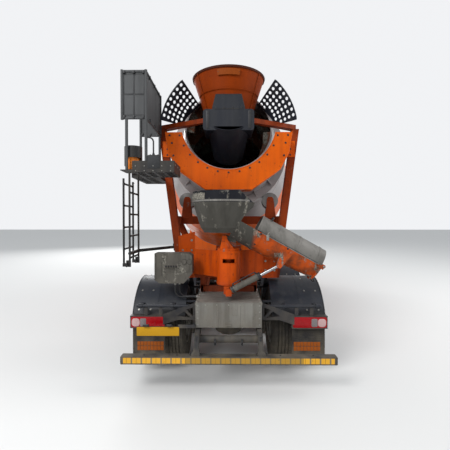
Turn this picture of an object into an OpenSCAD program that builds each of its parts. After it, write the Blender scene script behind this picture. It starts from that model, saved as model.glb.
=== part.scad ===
// Four-axle concrete mixer truck with a forward-control cab.
// +Y points forward, +X to the truck's right and +Z up; the origin is on the ground at mid-length.

/* [Chassis] */
// Overall length, underrun bar to front bumper
body_l = 8600; // [8400:50:9200]
// Overall width over tyres, lamps and mudguards
body_w = 2500; // [2450:10:2550]
// Front bumper to first axle
front_overhang = 1380; // [1340:10:1420]
// First to second axle
axle_12 = 1940; // [1900:10:2100]
// Third to fourth axle
axle_34 = 1370; // [1360:5:1500]
// Fourth axle to the rear face of the underrun bar
rear_overhang = 1130; // [1120:5:1180]
// Width over the frame rails
frame_w = 800; // [780:5:830]
// Height of the frame rails
frame_h = 270; // [250:5:290]
// Top of the frame rails above ground
frame_top = 1000; // [990:5:1010]
// Width of a rail's flange
flange_w = 90; // [70:5:100]
// Sheet thickness of the rails
rail_t = 8; // [6:1:12]
// Height of the mixer subframe
subframe_h = 120; // [110:5:130]
// Width of one subframe tube
subframe_w = 80; // [60:5:90]

/* [Wheels] */
// Tyre radius
tyre_r = 530; // [520:2:540]
// Tyre width
tyre_w = 300; // [280:5:310]
// Rim radius under the bead
rim_r = 286; // [270:2:300]
// Gap between twin tyres
twin_gap = 45; // [35:5:60]
// Tyre face inside the body's side
tyre_inset = 25; // [15:5:40]
// Centre of a front tyre from the centreline
front_wheel_x = 1045; // [1030:5:1060]
// Kingpin axis from the centreline
kingpin_x = 935; // [925:5:945]
// Kingpin radius
kingpin_r = 22; // [18:1:26]
// Radius of a wheel spindle
spindle_r = 45; // [38:1:52]
// Radius of the cab's wheel arch
arch_r = 640; // [630:5:655]

/* [Drum] */
// Tilt of the drum's axis, mouth up
drum_tilt = 14.5; // [13.5:0.25:15.5]
// Largest radius of the drum
drum_r = 1150; // [1100:10:1170]
// Radius of the drum's mouth
mouth_r = 600; // [570:5:620]
// Mouth centre ahead of the underrun bar
mouth_back = 950; // [930:10:980]
// Mouth centre above ground
mouth_z = 3300; // [3260:10:3320]
// Share of the shell's length that is rear cone, in percent
rear_cone_share = 39.6; // [38:0.2:42]
// Share of the shell's length that is middle cylinder, in percent
barrel_share = 23; // [20:0.5:26]
// Clear space between the drum's motor and the water tank
drive_clear = 20; // [15:5:60]
// Radius at the front cone's small end
drum_front_r = 620; // [560:10:680]
// Thickness of the drum's plate
drum_t = 8; // [6:1:12]
// Roller ring from the mouth, along the axis
ring_s = 750; // [720:10:780]
// Radius of the roller ring
ring_r = 920; // [900:5:940]
// Width of the roller ring
ring_w = 90; // [70:5:100]
// Radius of a drum roller
roller_r = 125; // [110:5:135]
// Angle of the rollers from straight down
roller_angle = 38; // [34:1:42]
// Height of the spiral blades
blade_h = 320; // [240:10:360]
// Turns of each spiral blade
blade_turns = 3.5; // [2:0.5:5]

/* [Hopper] */
// Hopper rim above ground
hopper_top = 4010; // [3980:10:4050]
// Radius of the hopper's rim
hopper_rim_r = 500; // [460:10:540]
// Radius of the hopper's foot
hopper_foot_r = 322; // [300:5:326]
// Plate thickness of hopper and collector
sheet_t = 8; // [6:1:10]
// Width of the collar under the hopper
collar_w = 660; // [650:10:700]
// Height of the collar
collar_h = 270; // [250:10:290]
// Radius of the feed chute inside the drum mouth
feed_r = 230; // [200:5:250]
// Rear radius of the perforated guards
guard_r = 915; // [905:5:925]
// Front radius of the perforated guards, beside the hopper
guard_in_r = 620; // [610:5:680]
// Radius of a guard's holes
guard_hole_r = 21; // [14:1:26]

/* [Chute] */
// Radius of the chute column
column_r = 150; // [140:2:156]
// Swivel axis ahead of the underrun bar
swivel_back = 470; // [460:5:490]
// Slope of the chute at rest
chute_slope = 29; // [27:0.5:31]
// Radius of the trough at its head
trough_r = 250; // [235:5:260]
// Radius of the trough at its end
trough_end_r = 195; // [185:5:205]
// Length of the trough
trough_l = 1200; // [1150:10:1220]
// Plate thickness of the chute
chute_t = 6; // [5:1:8]
// Rim radius of the chute's bowl
bowl_r = 395; // [370:5:400]
// Radius of the ram's barrel
ram_r = 38; // [32:1:40]
// Radius of the ram's rod
ram_rod_r = 20; // [14:1:22]

/* [Cab] */
// Cab's side, in from the body's
cab_inset = 25; // [20:5:50]
// Top of the roof
cab_top = 2950; // [2850:10:3000]
// Underside of the cab
cab_bottom = 1000; // [995:5:1010]
// Length of the cab
cab_l = 1790; // [1760:10:1800]
// Thickness of walls and doors
cab_t = 50; // [40:2:55]
// Thickness of the glass
glass_t = 6; // [5:1:8]
// Sill of the windows
sill_z = 1850; // [1800:10:1900]

/* [Platform] */
// Top of the access platform
platform_top = 2600; // [2560:10:2620]
// Radius of the guard rail tube
tube_r = 17; // [14:1:20]
// Spacing of the ladder's rungs
rung_step = 250; // [240:5:260]
// Width of the ladder
ladder_w = 380; // [360:5:385]

/* [Underrun] */
// Height of the underrun bar
bar_h = 90; // [80:5:100]
// Depth of the underrun bar
bar_d = 100; // [90:5:110]
// Underside of the underrun bar
bar_z = 365; // [355:5:370]
// Inset of the underrun bar's ends from the body's sides
bar_inset = 10; // [0:5:40]

/* [Hidden] */
$fn = 64;
gap = 0.3;
run = 0.06;
panel_gap = 6;
rear_y = -body_l / 2;
front_y = body_l / 2;
side_x = body_w / 2;
bar_l = body_w - 2 * bar_inset;
axle_z = tyre_r;
axle_1 = front_y - front_overhang;
axle_2 = axle_1 - axle_12;
axle_4 = rear_y + rear_overhang;
axle_3 = axle_4 + axle_34;
steer_axles = [axle_1, axle_2];
drive_axles = [axle_3, axle_4];
twin_x = side_x - tyre_inset - tyre_w / 2;
inner_twin_x = twin_x - tyre_w - twin_gap;
frame_bottom = frame_top - frame_h;
rail_rear = rear_y + 210;
rail_front = front_y - 300;
spring_x = frame_w / 2 - flange_w / 2;
spring_w = 76;
spring_half = 700;
spring_sag = 150;
leaf_t = 14;
leaf_count = 4;
bogie_y = (axle_3 + axle_4) / 2;
sub_top = frame_top + subframe_h;
sub_x = frame_w / 2 - subframe_w / 2 - 5;
sub_rear = rear_y + 870;
mouth_y = rear_y + mouth_back;
tank_r = 225;
tank_y = front_y - 60 - cab_l - 260;
drive_l = [160, 290];
front_s = (tank_y - tank_r - drive_clear - mouth_y) / cos(drum_tilt) - 220 - gap - drive_l[0] - drive_l[1];
rear_cone_l = front_s * rear_cone_share / 100;
barrel_s = rear_cone_l + front_s * barrel_share / 100;
front_cone_l = front_s - barrel_s;
drum_end_s = front_s + 200;
drive_s = drum_end_s + 20 + gap;
plate_s = drive_s + drive_l[0];
post_y = [mouth_y - 60, mouth_y + 60];
post_foot = [660, sub_top + 95];
post_head = [930, mouth_z - 10];
swivel_y = rear_y + swivel_back;
ram_y = swivel_y - column_r - ram_r - 12;
column_z = [sub_top + 90, 1640];
hinge_x = -50;
hinge_z = 1800;
trough_axis_w = 280;
lid_axis_w = trough_axis_w + 5;
fold_u = trough_l + 15;
ram_base_z = 1150;
rod_eye_u = 741;
rod_eye_w = 35;
rod_eye = [hinge_x + rod_eye_u * cos(chute_slope) + rod_eye_w * sin(chute_slope),
           hinge_z - rod_eye_u * sin(chute_slope) + rod_eye_w * cos(chute_slope)];
ram_len = norm([rod_eye[0], rod_eye[1] - ram_base_z]);
ram_angle = atan2(rod_eye[1] - ram_base_z, rod_eye[0]);
barrel_len = 440;
cab_front = front_y - 60;
cab_rear = cab_front - cab_l;
cab_x = side_x - cab_inset;
cab_hinge_y = front_y - 160;
floor_z = cab_bottom + 300;
door_y = [axle_1 + 110, cab_front - 280];
door_z = [axle_z + arch_r + 40, cab_top - 330];
guard_axis_z = mouth_z - 100;
ladder_x = -1133;
fold_x = ladder_x - 34;
fold_z = platform_top - 1100;
ladder_y = [rear_y + 15, rear_y + 15 + ladder_w];
rail_top = platform_top + 1120;
rail_mid = platform_top + 590;
orange = [0.86, 0.27, 0.06];
black = [0.07, 0.08, 0.10];
steel = [0.45, 0.45, 0.43];
rubber = [0.09, 0.09, 0.09];
chassis_grey = [0.20, 0.21, 0.22];
glass = [0.35, 0.42, 0.45];

// Helpers: boxes by their limits, extrusions along each axis, rods between points

module slab(x, y, z)
    translate([x[0], y[0], z[0]]) cube([x[1] - x[0], y[1] - y[0], z[1] - z[0]]);

module along_y(y) translate([0, y[1], 0]) rotate([90, 0, 0]) linear_extrude(y[1] - y[0]) children();

module along_x(x) translate([x[0], 0, 0]) rotate([90, 0, 90]) linear_extrude(x[1] - x[0]) children();

module along_z(z) translate([0, 0, z[0]]) linear_extrude(z[1] - z[0]) children();

module both_sides() {
    children();
    mirror([1, 0, 0]) children();
}

module rod(a, b, r) {
    d = b - a;
    translate(a)
        rotate([0, acos(d[2] / norm(d)), atan2(d[1], d[0])]) cylinder(h = norm(d), r = r);
}

module x_disc(x, y, z, r) translate([x[0], y, z]) rotate([0, 90, 0]) cylinder(h = x[1] - x[0], r = r);

module y_disc(x, y, z, r) translate([x, y[1], z]) rotate([90, 0, 0]) cylinder(h = y[1] - y[0], r = r);

module z_disc(x, y, z, r) translate([x, y, z[0]]) cylinder(h = z[1] - z[0], r = r);

// Points of an arc of radius r about c, from angle a to b in n steps
function arc(c, r, a, b, n) = [for (i = [0:n]) c + r * [cos(a + (b - a) * i / n), sin(a + (b - a) * i / n)]];

// Outline of a rounded rectangle, half-width w between two heights
function rounded(w, z, r) = concat(arc([w - r, z[1] - r], r, 0, 90, 4), arc([r - w, z[1] - r], r, 90, 180, 4),
    arc([r - w, z[0] + r], r, 180, 270, 4), arc([w - r, z[0] + r], r, 270, 360, 4));

// The drum's own frame: local +Z along its axis from the mouth
module in_drum() translate([0, mouth_y, mouth_z]) rotate([-90 - drum_tilt, 0, 0]) children();

function drum_point(s) = [0, mouth_y + s * cos(drum_tilt), mouth_z - s * sin(drum_tilt)];

// Frame: two channel rails, cross-members and spring brackets

function channel(xo, z0, z1, f, t) = [[xo, z0], [xo, z1], [xo - f, z1], [xo - f, z1 - t],
    [xo - t, z1 - t], [xo - t, z0 + t], [xo - f, z0 + t], [xo - f, z0]];

cross_z = [frame_bottom + 140, frame_top - 12];
cross_ys = [rail_rear + 60, bogie_y, axle_3 + 750, axle_2 + 300, rail_front - 60];

module frame_rails() color(chassis_grey) {
    both_sides()
        along_y([rail_rear, rail_front])
            polygon(channel(frame_w / 2, frame_bottom, frame_top, flange_w, rail_t));
    for (y = cross_ys)
        along_x([rail_t - frame_w / 2, frame_w / 2 - rail_t])
            polygon([for (p = channel(40, cross_z[0], cross_z[1], 80, rail_t)) [y + p[0], p[1]]]);
    both_sides() {
        for (a = steer_axles, e = [-1, 1], c = [-1, 1])
            spring_cheek(a + e * spring_half, c);
        bogie_bracket();
    }
}

// One cheek beside a front spring's eye
module spring_cheek(y, c) {
    inner = spring_w / 2 + gap;
    x0 = spring_x + (c > 0 ? inner : -inner - 10);
    along_x([x0, x0 + 10])
        polygon([[y - 60, frame_bottom], [y - 35, spring_eye_z - 35], [y + 35, spring_eye_z - 35],
            [y + 60, frame_bottom]]);
}

// The trunnion that the rear springs rock on
bogie_spring_z = axle_z + 96;
module bogie_bracket() {
    for (c = [-1, 1]) {
        x0 = spring_x + c * (spring_w / 2 + gap) + (c < 0 ? -14 : 0);
        along_x([x0, x0 + 14])
            polygon([[bogie_y - 170, frame_bottom], [bogie_y - 60, bogie_spring_z - 110],
                [bogie_y + 60, bogie_spring_z - 110], [bogie_y + 170, frame_bottom]]);
    }
    x_disc([spring_x - spring_w / 2 - 5, spring_x + spring_w / 2 + 5], bogie_y,
        bogie_spring_z - 50 - gap, 50);
}

// Subframe, with the front pedestal and the tank's cradles

tank_z = 1900;
sub_front = tank_y + 150;

module mixer_subframe() color(orange) {
    both_sides()
        along_y([sub_rear, sub_front]) difference() {
            translate([sub_x - subframe_w / 2, frame_top]) square([subframe_w, subframe_h]);
            translate([sub_x - subframe_w / 2 + 8, frame_top + 8])
                square([subframe_w - 16, subframe_h - 16]);
        }
    for (y = [sub_rear, bogie_y, axle_3 + 900, drum_point(plate_s)[1] - 100, sub_front - 80])
        slab([-sub_x, sub_x], [y, y + 80], [frame_top + 20, sub_top - 20]);
    front_pedestal();
    tank_cradles();
}

// Face plate square to the drum's axis, braced by two side plates
module front_pedestal() {
    foot = (drum_point(plate_s)[2] - sub_top) / cos(drum_tilt);
    difference() {
        in_drum() translate([-330, -290, plate_s]) cube([660, foot + 320, 22]);
        in_drum() translate([0, 0, plate_s - 5]) cylinder(h = 40, r = 200);
        slab([-400, 400], [drum_point(plate_s)[1] - 900, drum_point(plate_s)[1] + 400],
            [sub_top - 200, sub_top - 10]);
    }
    p = drum_point(plate_s);
    both_sides() along_x([sub_x - 20, sub_x - 6])
        polygon([[p[1] - 260, sub_top], [p[1] - 160, sub_top + 280], [p[1] - 20, p[2] + 80],
            [p[1] + 60, p[2] + 100], [p[1] + 150, sub_top]]);
}

module tank_cradles() both_sides() difference() {
    along_x([sub_x - 8, sub_x + 8])
        polygon([[tank_y - 130, sub_top], [tank_y - 200, tank_z - 60], [tank_y + 200, tank_z - 60],
            [tank_y + 130, sub_top]]);
    x_disc([sub_x - 20, sub_x + 20], tank_y, tank_z, tank_r + gap);
}

module water_tank() color(steel) {
    x_disc([-880, 880], tank_y, tank_z, tank_r);
    for (s = [-1, 1]) x_disc([s > 0 ? 880 : -905, s > 0 ? 905 : -880], tank_y, tank_z, tank_r - 30);
    z_disc(500, tank_y, [tank_z + tank_r - 20, tank_z + tank_r + 40], 70);
}

// Axles and springs

spring_eye_z = axle_z - 45 + spring_sag + leaf_count * leaf_t + 2;
leaf_step = spring_half / 8;

// One leaf pack, bow down in the middle; z is the underside at mid-length
module leaf_pack(y, z, half, sag) for (k = [0:leaf_count - 1]) {
    step = half / 8;
    lo = z + (leaf_count - 1 - k) * leaf_t;
    top = [for (i = [k:16 - k]) [y - half + i * step, lo + sag * pow((i - 8) / 8, 2) + leaf_t]];
    low = [for (i = [16 - k:-1:k]) [y - half + i * step, lo + sag * pow((i - 8) / 8, 2)]];
    x0 = spring_x - spring_w / 2;
    along_x([x0, x0 + spring_w]) polygon(concat(top, low));
}

module front_axles() color(chassis_grey) for (y = steer_axles) {
    difference() {
        union() {
            along_y([y - 45, y + 45])
                polygon([[-kingpin_x, axle_z - 55], [-kingpin_x + 180, axle_z - 55], [-540, axle_z - 150],
                    [540, axle_z - 150], [kingpin_x - 180, axle_z - 55], [kingpin_x, axle_z - 55],
                    [kingpin_x, axle_z + 55], [kingpin_x - 230, axle_z + 55], [500, axle_z - 45],
                    [-500, axle_z - 45], [-kingpin_x + 230, axle_z + 55], [-kingpin_x, axle_z + 55]]);
            both_sides() z_disc(kingpin_x, y, [axle_z - 60, axle_z + 60], 46);
        }
        both_sides() z_disc(kingpin_x, y, [axle_z - 90, axle_z + 90], kingpin_r + run);
        for (e = [-1, 1]) slab([-470, 470], [y + e * 45 - 25, y + e * 45 + 25], [axle_z - 125, axle_z - 75]);
    }
    both_sides() {
        leaf_pack(y, axle_z - 45, spring_half, spring_sag);
        for (e = [-1, 1])
            x_disc([spring_x - spring_w / 2, spring_x + spring_w / 2], y + e * spring_half,
                spring_eye_z, 26);
    }
}

module rear_axles() color(chassis_grey) {
    for (y = drive_axles) {
        x_disc([-inner_twin_x + 220, inner_twin_x - 220], y, axle_z, 96);
        both_sides() {
            x_disc([inner_twin_x - 230, inner_twin_x - 205], y, axle_z, 170);
            x_disc([inner_twin_x - 205, twin_x + 30], y, axle_z, spindle_r + 15);
        }
        translate([0, y, axle_z]) rotate([0, 90, 0]) rotate_extrude()
            polygon(concat([[0, -200]], [for (a = [-90:15:90]) [80 + 110 * cos(a), 200 * sin(a)]], [[0, 200]]));
        y_disc(0, [y, y + 300], axle_z + 40, 90);
        y_disc(0, [y + 300 - 20, y + 300], axle_z + 40, 110);
    }
    // Springs bow up in the middle of the bogie: their ends rest on both axles
    both_sides() {
        for (y = drive_axles) slab([spring_x - 45, spring_x + 45], [y - 60, y + 60], [axle_z + 60, axle_z + 96]);
        for (k = [0:leaf_count - 1]) {
            half = axle_34 / 2 + 60 - k * 110;
            slab([spring_x - spring_w / 2, spring_x + spring_w / 2], [bogie_y - half, bogie_y + half],
                [bogie_spring_z + k * leaf_t, bogie_spring_z + (k + 1) * leaf_t]);
        }
    }
}

module powertrain() color(chassis_grey) {
    // Engine, gearbox and the shafts back to the drive axles
    slab([-290, 290], [cab_rear + 300, cab_rear + 1330], [axle_z + 60, floor_z - 60]);
    slab([-190, 190], [cab_rear - 350, cab_rear + 300], [axle_z + 120, frame_top - 40]);
    y_disc(0, [cab_rear - 420, cab_rear - 350], frame_bottom + 60, 90);
    rod([0, cab_rear - 421, frame_bottom + 60], [0, axle_3 + 303.5, axle_z + 40], 50);
    rod([0, axle_3 - 190 - gap, axle_z + 40], [0, axle_4 + 300 + gap, axle_z + 40], 45);
}

// Knuckles and wheels, drawn for the right side and mirrored for the left

module knuckle(y) color(chassis_grey) {
    z_disc(kingpin_x, y, [axle_z - 95, axle_z + 95], kingpin_r);
    for (e = [-1, 1]) {
        z0 = e > 0 ? axle_z + 60 + gap : axle_z - 95;
        z1 = e > 0 ? axle_z + 95 : axle_z - 60 - gap;
        z_disc(kingpin_x, y, [z0, z1], 46);
        slab([kingpin_x, kingpin_x + 75], [y - 46, y + 46], [z0, z1]);
    }
    slab([kingpin_x + 52, kingpin_x + 75], [y - 60, y + 60], [axle_z - 95, axle_z + 95]);
    x_disc([kingpin_x + 60, kingpin_x + 80], y, axle_z, 120);
    x_disc([kingpin_x + 60, front_wheel_x + 105], y, axle_z, spindle_r);
    // Steering arm
    along_z([axle_z - 95, axle_z - 70])
        polygon([[kingpin_x - 30, y], [kingpin_x - 70, y - 190], [kingpin_x - 30, y - 200],
            [kingpin_x + 40, y]]);
}

tyre_groove = 12;
function groove(c) = [[tyre_r, c - 9], [tyre_r - tyre_groove, c - 6], [tyre_r - tyre_groove, c + 6], [tyre_r, c + 9]];

// Tyre section: radius first, then place across the width
module tyre() {
    h = tyre_w / 2;
    bead = rim_r + gap;
    rotate_extrude() polygon(concat(
        [[bead, -h + 38], [bead + 22, -h + 22], [bead + 70, -h + 4], [bead + 130, -h],
            [tyre_r - 70, -h + 6], [tyre_r - 18, -h + 18], [tyre_r, -h + 36]],
        groove(-h / 2.6), groove(0), groove(h / 2.6),
        [[tyre_r, h - 36], [tyre_r - 18, h - 18], [tyre_r - 70, h - 6], [bead + 130, h],
            [bead + 70, h - 4], [bead + 22, h - 22], [bead, h - 38]]));
}

// Rim section with its disc
module rim(disc_z, bore_r, hub) {
    h = tyre_w / 2 - 26;
    difference() {
        union() {
            rotate_extrude() polygon([[rim_r + 12, -h], [rim_r + 12, -h - 6], [rim_r - 24, -h - 6],
                [rim_r - 34, -h + 30], [rim_r - 34, h - 30], [rim_r - 24, h + 6],
                [rim_r + 12, h + 6], [rim_r + 12, h], [rim_r, h - 2], [rim_r, -h + 2]]);
            translate([0, 0, disc_z]) cylinder(h = 14, r = rim_r - 30);
            rotate_extrude() polygon([[0, hub[0]], [95, hub[0]], [110, disc_z + 2], [110, disc_z + 20],
                [85, disc_z + 40], [70, hub[1]], [0, hub[1]]]);
        }
        translate([0, 0, hub[0] - 1]) cylinder(h = hub[1] - hub[0] - 18, r = bore_r);
        for (i = [0:7]) rotate(i * 45 + 22.5) translate([rim_r - 84, 0, disc_z - 5]) cylinder(h = 30, r = 26);
    }
    for (i = [0:9]) rotate(i * 36) translate([145, 0, disc_z + 12]) cylinder(h = 26, r = 15, $fn = 6);
}

module single_wheel(y) translate([front_wheel_x, y, axle_z]) rotate([0, 90, 0]) {
    color(rubber) tyre();
    color(steel) rim(78, spindle_r + run, [-20, 130]);
    color(steel) brake_drum(-28, 60);
}

module brake_drum(z0, z1) difference() {
    translate([0, 0, z0]) cylinder(h = z1 - z0 + 18 - gap, r = 200);
    translate([0, 0, z0 - 1]) cylinder(h = z1 - z0, r = 184);
    translate([0, 0, z0 - 1]) cylinder(h = z1 - z0 + 30, r = 85);
}

// Twin wheel: its two discs meet face to face
module twin_wheel(y) translate([0, y, axle_z]) rotate([0, 90, 0]) {
    mid = (twin_x + inner_twin_x) / 2;
    color(rubber) translate([0, 0, twin_x]) tyre();
    color(rubber) translate([0, 0, inner_twin_x]) tyre();
    color(steel) difference() {
        union() {
            for (w = [[twin_x, 1], [inner_twin_x, -1]]) translate([0, 0, w[0]]) barrel_only();
            translate([0, 0, mid - 14]) cylinder(h = 28, r = rim_r - 30);
            for (e = [-1, 1]) translate([0, 0, mid + (e > 0 ? 0 : -80)]) difference() {
                cylinder(h = 80, r = rim_r - 20);
                translate([0, 0, -1]) cylinder(h = 82, r = rim_r - 34);
            }
            translate([0, 0, inner_twin_x - 190]) cylinder(h = 340 + twin_x - inner_twin_x - 80, r = 100);
            translate([0, 0, mid]) cylinder(h = 30, r = 165);
        }
        translate([0, 0, inner_twin_x - 300]) cylinder(h = twin_x + 35 - inner_twin_x + 300, r = spindle_r + 15 + run);
        for (i = [0:7]) rotate(i * 45) translate([rim_r - 84, 0, mid - 40]) cylinder(h = 80, r = 26);
    }
    color(steel) for (i = [0:9]) rotate(i * 36 + 18) translate([140, 0, mid + 29]) cylinder(h = 24, r = 14, $fn = 6);
}

module barrel_only() {
    h = tyre_w / 2 - 26;
    rotate_extrude() polygon([[rim_r + 12, -h], [rim_r + 12, -h - 6], [rim_r - 24, -h - 6],
        [rim_r - 34, -h + 30], [rim_r - 34, h - 30], [rim_r - 24, h + 6],
        [rim_r + 12, h + 6], [rim_r + 12, h], [rim_r, h - 2], [rim_r, -h + 2]]);
}

// Mudguards and their tubes

mud_r = 660;
mud_t = 8;
mud_liner_r = arch_r - 22;

module mud_arc(y, r, x, a) difference() {
    x_disc(x, y, axle_z, r + mud_t);
    x_disc([x[0] - 1, x[1] + 1], y, axle_z, r);
    slab([x[0] - 1, x[1] + 1], [y - 900, y + 900], [axle_z - 900, axle_z + r * sin(a)]);
}

rear_mud_x = [inner_twin_x - tyre_w / 2 - 20, side_x];
rear_tube_y = rear_y + 438;
rear_tube_z = 930;

module mudguards() color(black) both_sides() {
    for (y = drive_axles) {
        mud_arc(y, mud_r, rear_mud_x, 21);
        for (a = [40, 140])
            x_disc([frame_w / 2 + gap, side_x - 30], y + (mud_r - 18) * cos(a), axle_z + (mud_r - 18) * sin(a), 19);
    }
    mud_arc(axle_2, mud_r, [880, side_x], 20);
    for (a = [25, 155])
        x_disc([frame_w / 2 + gap, side_x - 40], axle_2 + (mud_r + 24) * cos(a), axle_z + (mud_r + 24) * sin(a), 19);
    mud_arc(axle_1, mud_liner_r, [880, cab_x - 40], 18);
    for (a = [25, 155])
        x_disc([frame_w / 2 + gap, cab_x - 80], axle_1 + (mud_liner_r + 24) * cos(a),
            axle_z + (mud_liner_r + 24) * sin(a), 19);
    // Tube behind the last wheel, with two clamps and webs
    x_disc([frame_w / 2 + gap, side_x - 80], rear_tube_y, rear_tube_z, 20);
    for (x = [700, 1100]) {
        x_disc([x, x + 45], rear_tube_y, rear_tube_z, 28);
        slab([x, x + 45], [rear_tube_y, axle_4 - 540], [rear_tube_z - 14, rear_tube_z + 6]);
    }
}

flap_y = rear_y + 500;
flap_x = [820, side_x - 10];

module mud_flaps() color(rubber) both_sides() {
    difference() {
        slab(flap_x, [flap_y, flap_y + 10], [265, axle_z + 230]);
        for (x = [flap_x[0] + 60, flap_x[1] - 60])
            y_disc(x, [flap_y - 5, flap_y + 20], axle_z + 200, 7);
    }
}

// Lamps hang from the tube on brackets with triangular holes

lamp_x = [800, side_x];
lamp_y = [rear_y + 415, flap_y - gap];
lamp_z = [650, 810];

module rear_lamps() {
    both_sides() {
        color([0.75, 0.05, 0.08]) slab(lamp_x, lamp_y, lamp_z);
        color(black) {
            for (x = [lamp_x[0] + 40, lamp_x[0] + 230])
                slab([x, x + 45], [rear_tube_y - 10, rear_tube_y + 10], [lamp_z[1] - 1, rear_tube_z - 20 - gap]);
            difference() {
                along_y([rear_tube_y - 30 - gap, rear_tube_y - 20 - gap])
                    polygon([[frame_w / 2 + gap, 760], [frame_w / 2 + gap, 985], [560, 930], [lamp_x[0] + 30, 830],
                        [lamp_x[0] + 30, 700], [640, 760]]);
                along_y([rear_tube_y - 60, rear_tube_y]) {
                    polygon([[450, 800], [450, 920], [530, 890]]);
                    polygon([[480, 790], [560, 870], [650, 810]]);
                }
            }
        }
    }
    // Bracket for the number plate, left side, with its two screw holes
    color(black) difference() {
        union() {
            slab([-1095, -585], [rear_y + 146, rear_y + 150], [645, 755]);
            slab([-600, -frame_w / 2 - gap], [rear_y + 146, rear_y + 156], [740, 780]);
            slab([-frame_w / 2 - 30, -frame_w / 2 - gap], [rear_y + 146, rear_y + 420], [740, 780]);
        }
        for (x = [-1040, -640]) y_disc(x, [rear_y + 100, rear_y + 200], 700, 3.5);
    }
}

// Underrun bar on two legs, with a cross tube behind

module underrun_bar() color(black) {
    difference() {
        slab([-bar_l / 2, bar_l / 2], [rear_y, rear_y + bar_d], [bar_z, bar_z + bar_h]);
        slab([-bar_l / 2 + 6, bar_l / 2 - 6], [rear_y + 6, rear_y + bar_d - 6], [bar_z + 6, bar_z + bar_h - 6]);
    }
    both_sides() {
        along_y([rear_y + 20, rear_y + 80])
            polygon([[330, bar_z + bar_h], [440, bar_z + bar_h], [405, bar_z + bar_h + 70], [395, frame_bottom - 40],
                [345, frame_bottom - 40], [345, bar_z + bar_h + 70]]);
        along_x([345, 395])
            polygon([[rear_y + 20, 640], [rear_y + 20, frame_bottom - 40], [rail_rear + 120, frame_bottom - gap],
                [rail_rear + 320, frame_bottom - gap], [rail_rear + 320, frame_bottom - 40], [rear_y + 160, 560],
                [rear_y + 80, 560]]);
        slab([320, 450], [rear_y + 10, rear_y + 90], [bar_z + bar_h - 1, bar_z + bar_h + 8]);
    }
    x_disc([-395, 395], rear_y + 210, 590, 45);
}

// Galvanised cover over the end of the frame

cover_w = frame_w + 6;
cover_top = frame_top + 30;
module rear_cover() color([0.52, 0.53, 0.52]) {
    y0 = rail_rear - 12;
    y1 = sub_rear - 40;
    slab([-cover_w / 2, cover_w / 2], [y0, y1], [cover_top - 6, cover_top]);
    both_sides() slab([cover_w / 2 - 6, cover_w / 2], [y0, y1], [frame_top + gap, cover_top]);
    slab([-frame_w / 2 + 2, frame_w / 2 - 2], [y0, y0 + 6], [frame_bottom, cover_top]);
    slab([-30, 40], [y0 - 26, y0 - 18], [frame_bottom + 30, frame_bottom + 38]);
    for (x = [-30, 32]) slab([x, x + 8], [y0 - 26, y0 + 3], [frame_bottom + 30, frame_bottom + 38]);
}

// Rear pedestal: leaning posts, roller cradle, arms to the collar

cradle_z = [1960, 2080];
roller_x = (ring_r + roller_r + gap) * sin(roller_angle);
roller_down = (ring_r + roller_r + gap) * cos(roller_angle);
roller_y = drum_point(ring_s)[1] - roller_down * sin(drum_tilt);
cradle_y = [roller_y - 140, roller_y + 10];
post_lean = (post_head[0] - post_foot[0]) / (post_head[1] - post_foot[1]);
function post_x(z) = post_foot[0] + (z - post_foot[1]) * post_lean;
roller_pin_r = 30;

module rear_pedestal() color(orange) {
    both_sides() {
        slab([sub_x - 40, sub_x + 40], post_y, [sub_top + gap, post_foot[1] + 1]);
        along_y(post_y)
            polygon([[post_foot[0] - 50, post_foot[1]], [post_foot[0] + 50, post_foot[1]],
                [post_head[0] + 50, post_head[1]], [post_head[0] - 50, post_head[1]]]);
        // Side beam and front leg
        slab([post_x(2020) - 45, post_x(2020) + 40], [post_y[0] + 10, cradle_y[1]], cradle_z);
        along_y([cradle_y[0] + 25, cradle_y[1] - 25])
            polygon([[sub_x - 40, sub_top + gap], [sub_x + 45, sub_top + gap], [post_x(2020) + 40, cradle_z[0] + 10],
                [post_x(2020) - 60, cradle_z[0] + 10]]);
        roller_cheeks();
        // Arm from the post's head to the collar
        along_z([post_head[1], post_head[1] + 60])
            polygon([[collar_w / 2 + gap, collar_y[0] + 60], [collar_w / 2 + gap, collar_y[0] + 130],
                [post_head[0] - 60, post_y[1]], [post_head[0] + 10, post_y[1]], [post_head[0] + 10, post_y[0] + 20]]);
    }
    slab([-post_foot[0] - 50, post_foot[0] + 50], post_y, [post_foot[1], post_foot[1] + 85]);
    slab([-post_x(2020), post_x(2020)], cradle_y, cradle_z);
}

// Two cheeks and a pin for a roller, square to the drum's axis
module roller_cheeks() in_drum() {
    for (e = [-1, 1])
        translate([0, 0, ring_s + e * 66 - 8]) linear_extrude(16)
            polygon([[roller_x - 50, roller_down - 20], [roller_x - 30, roller_down - 50],
                [roller_x + 30, roller_down - 50], [roller_x + 50, roller_down - 20],
                [roller_x + 80, roller_down + 290], [roller_x - 80, roller_down + 290]]);
    translate([roller_x, roller_down, ring_s - 74]) cylinder(h = 148, r = roller_pin_r);
}

module roller(s) color(steel) in_drum() difference() {
    translate([s * roller_x, roller_down, ring_s - 50]) cylinder(h = 100, r = roller_r);
    translate([s * roller_x, roller_down, ring_s - 60]) cylinder(h = 120, r = roller_pin_r + run);
}

// Column of the chute, held to the pedestal by two wings

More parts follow.
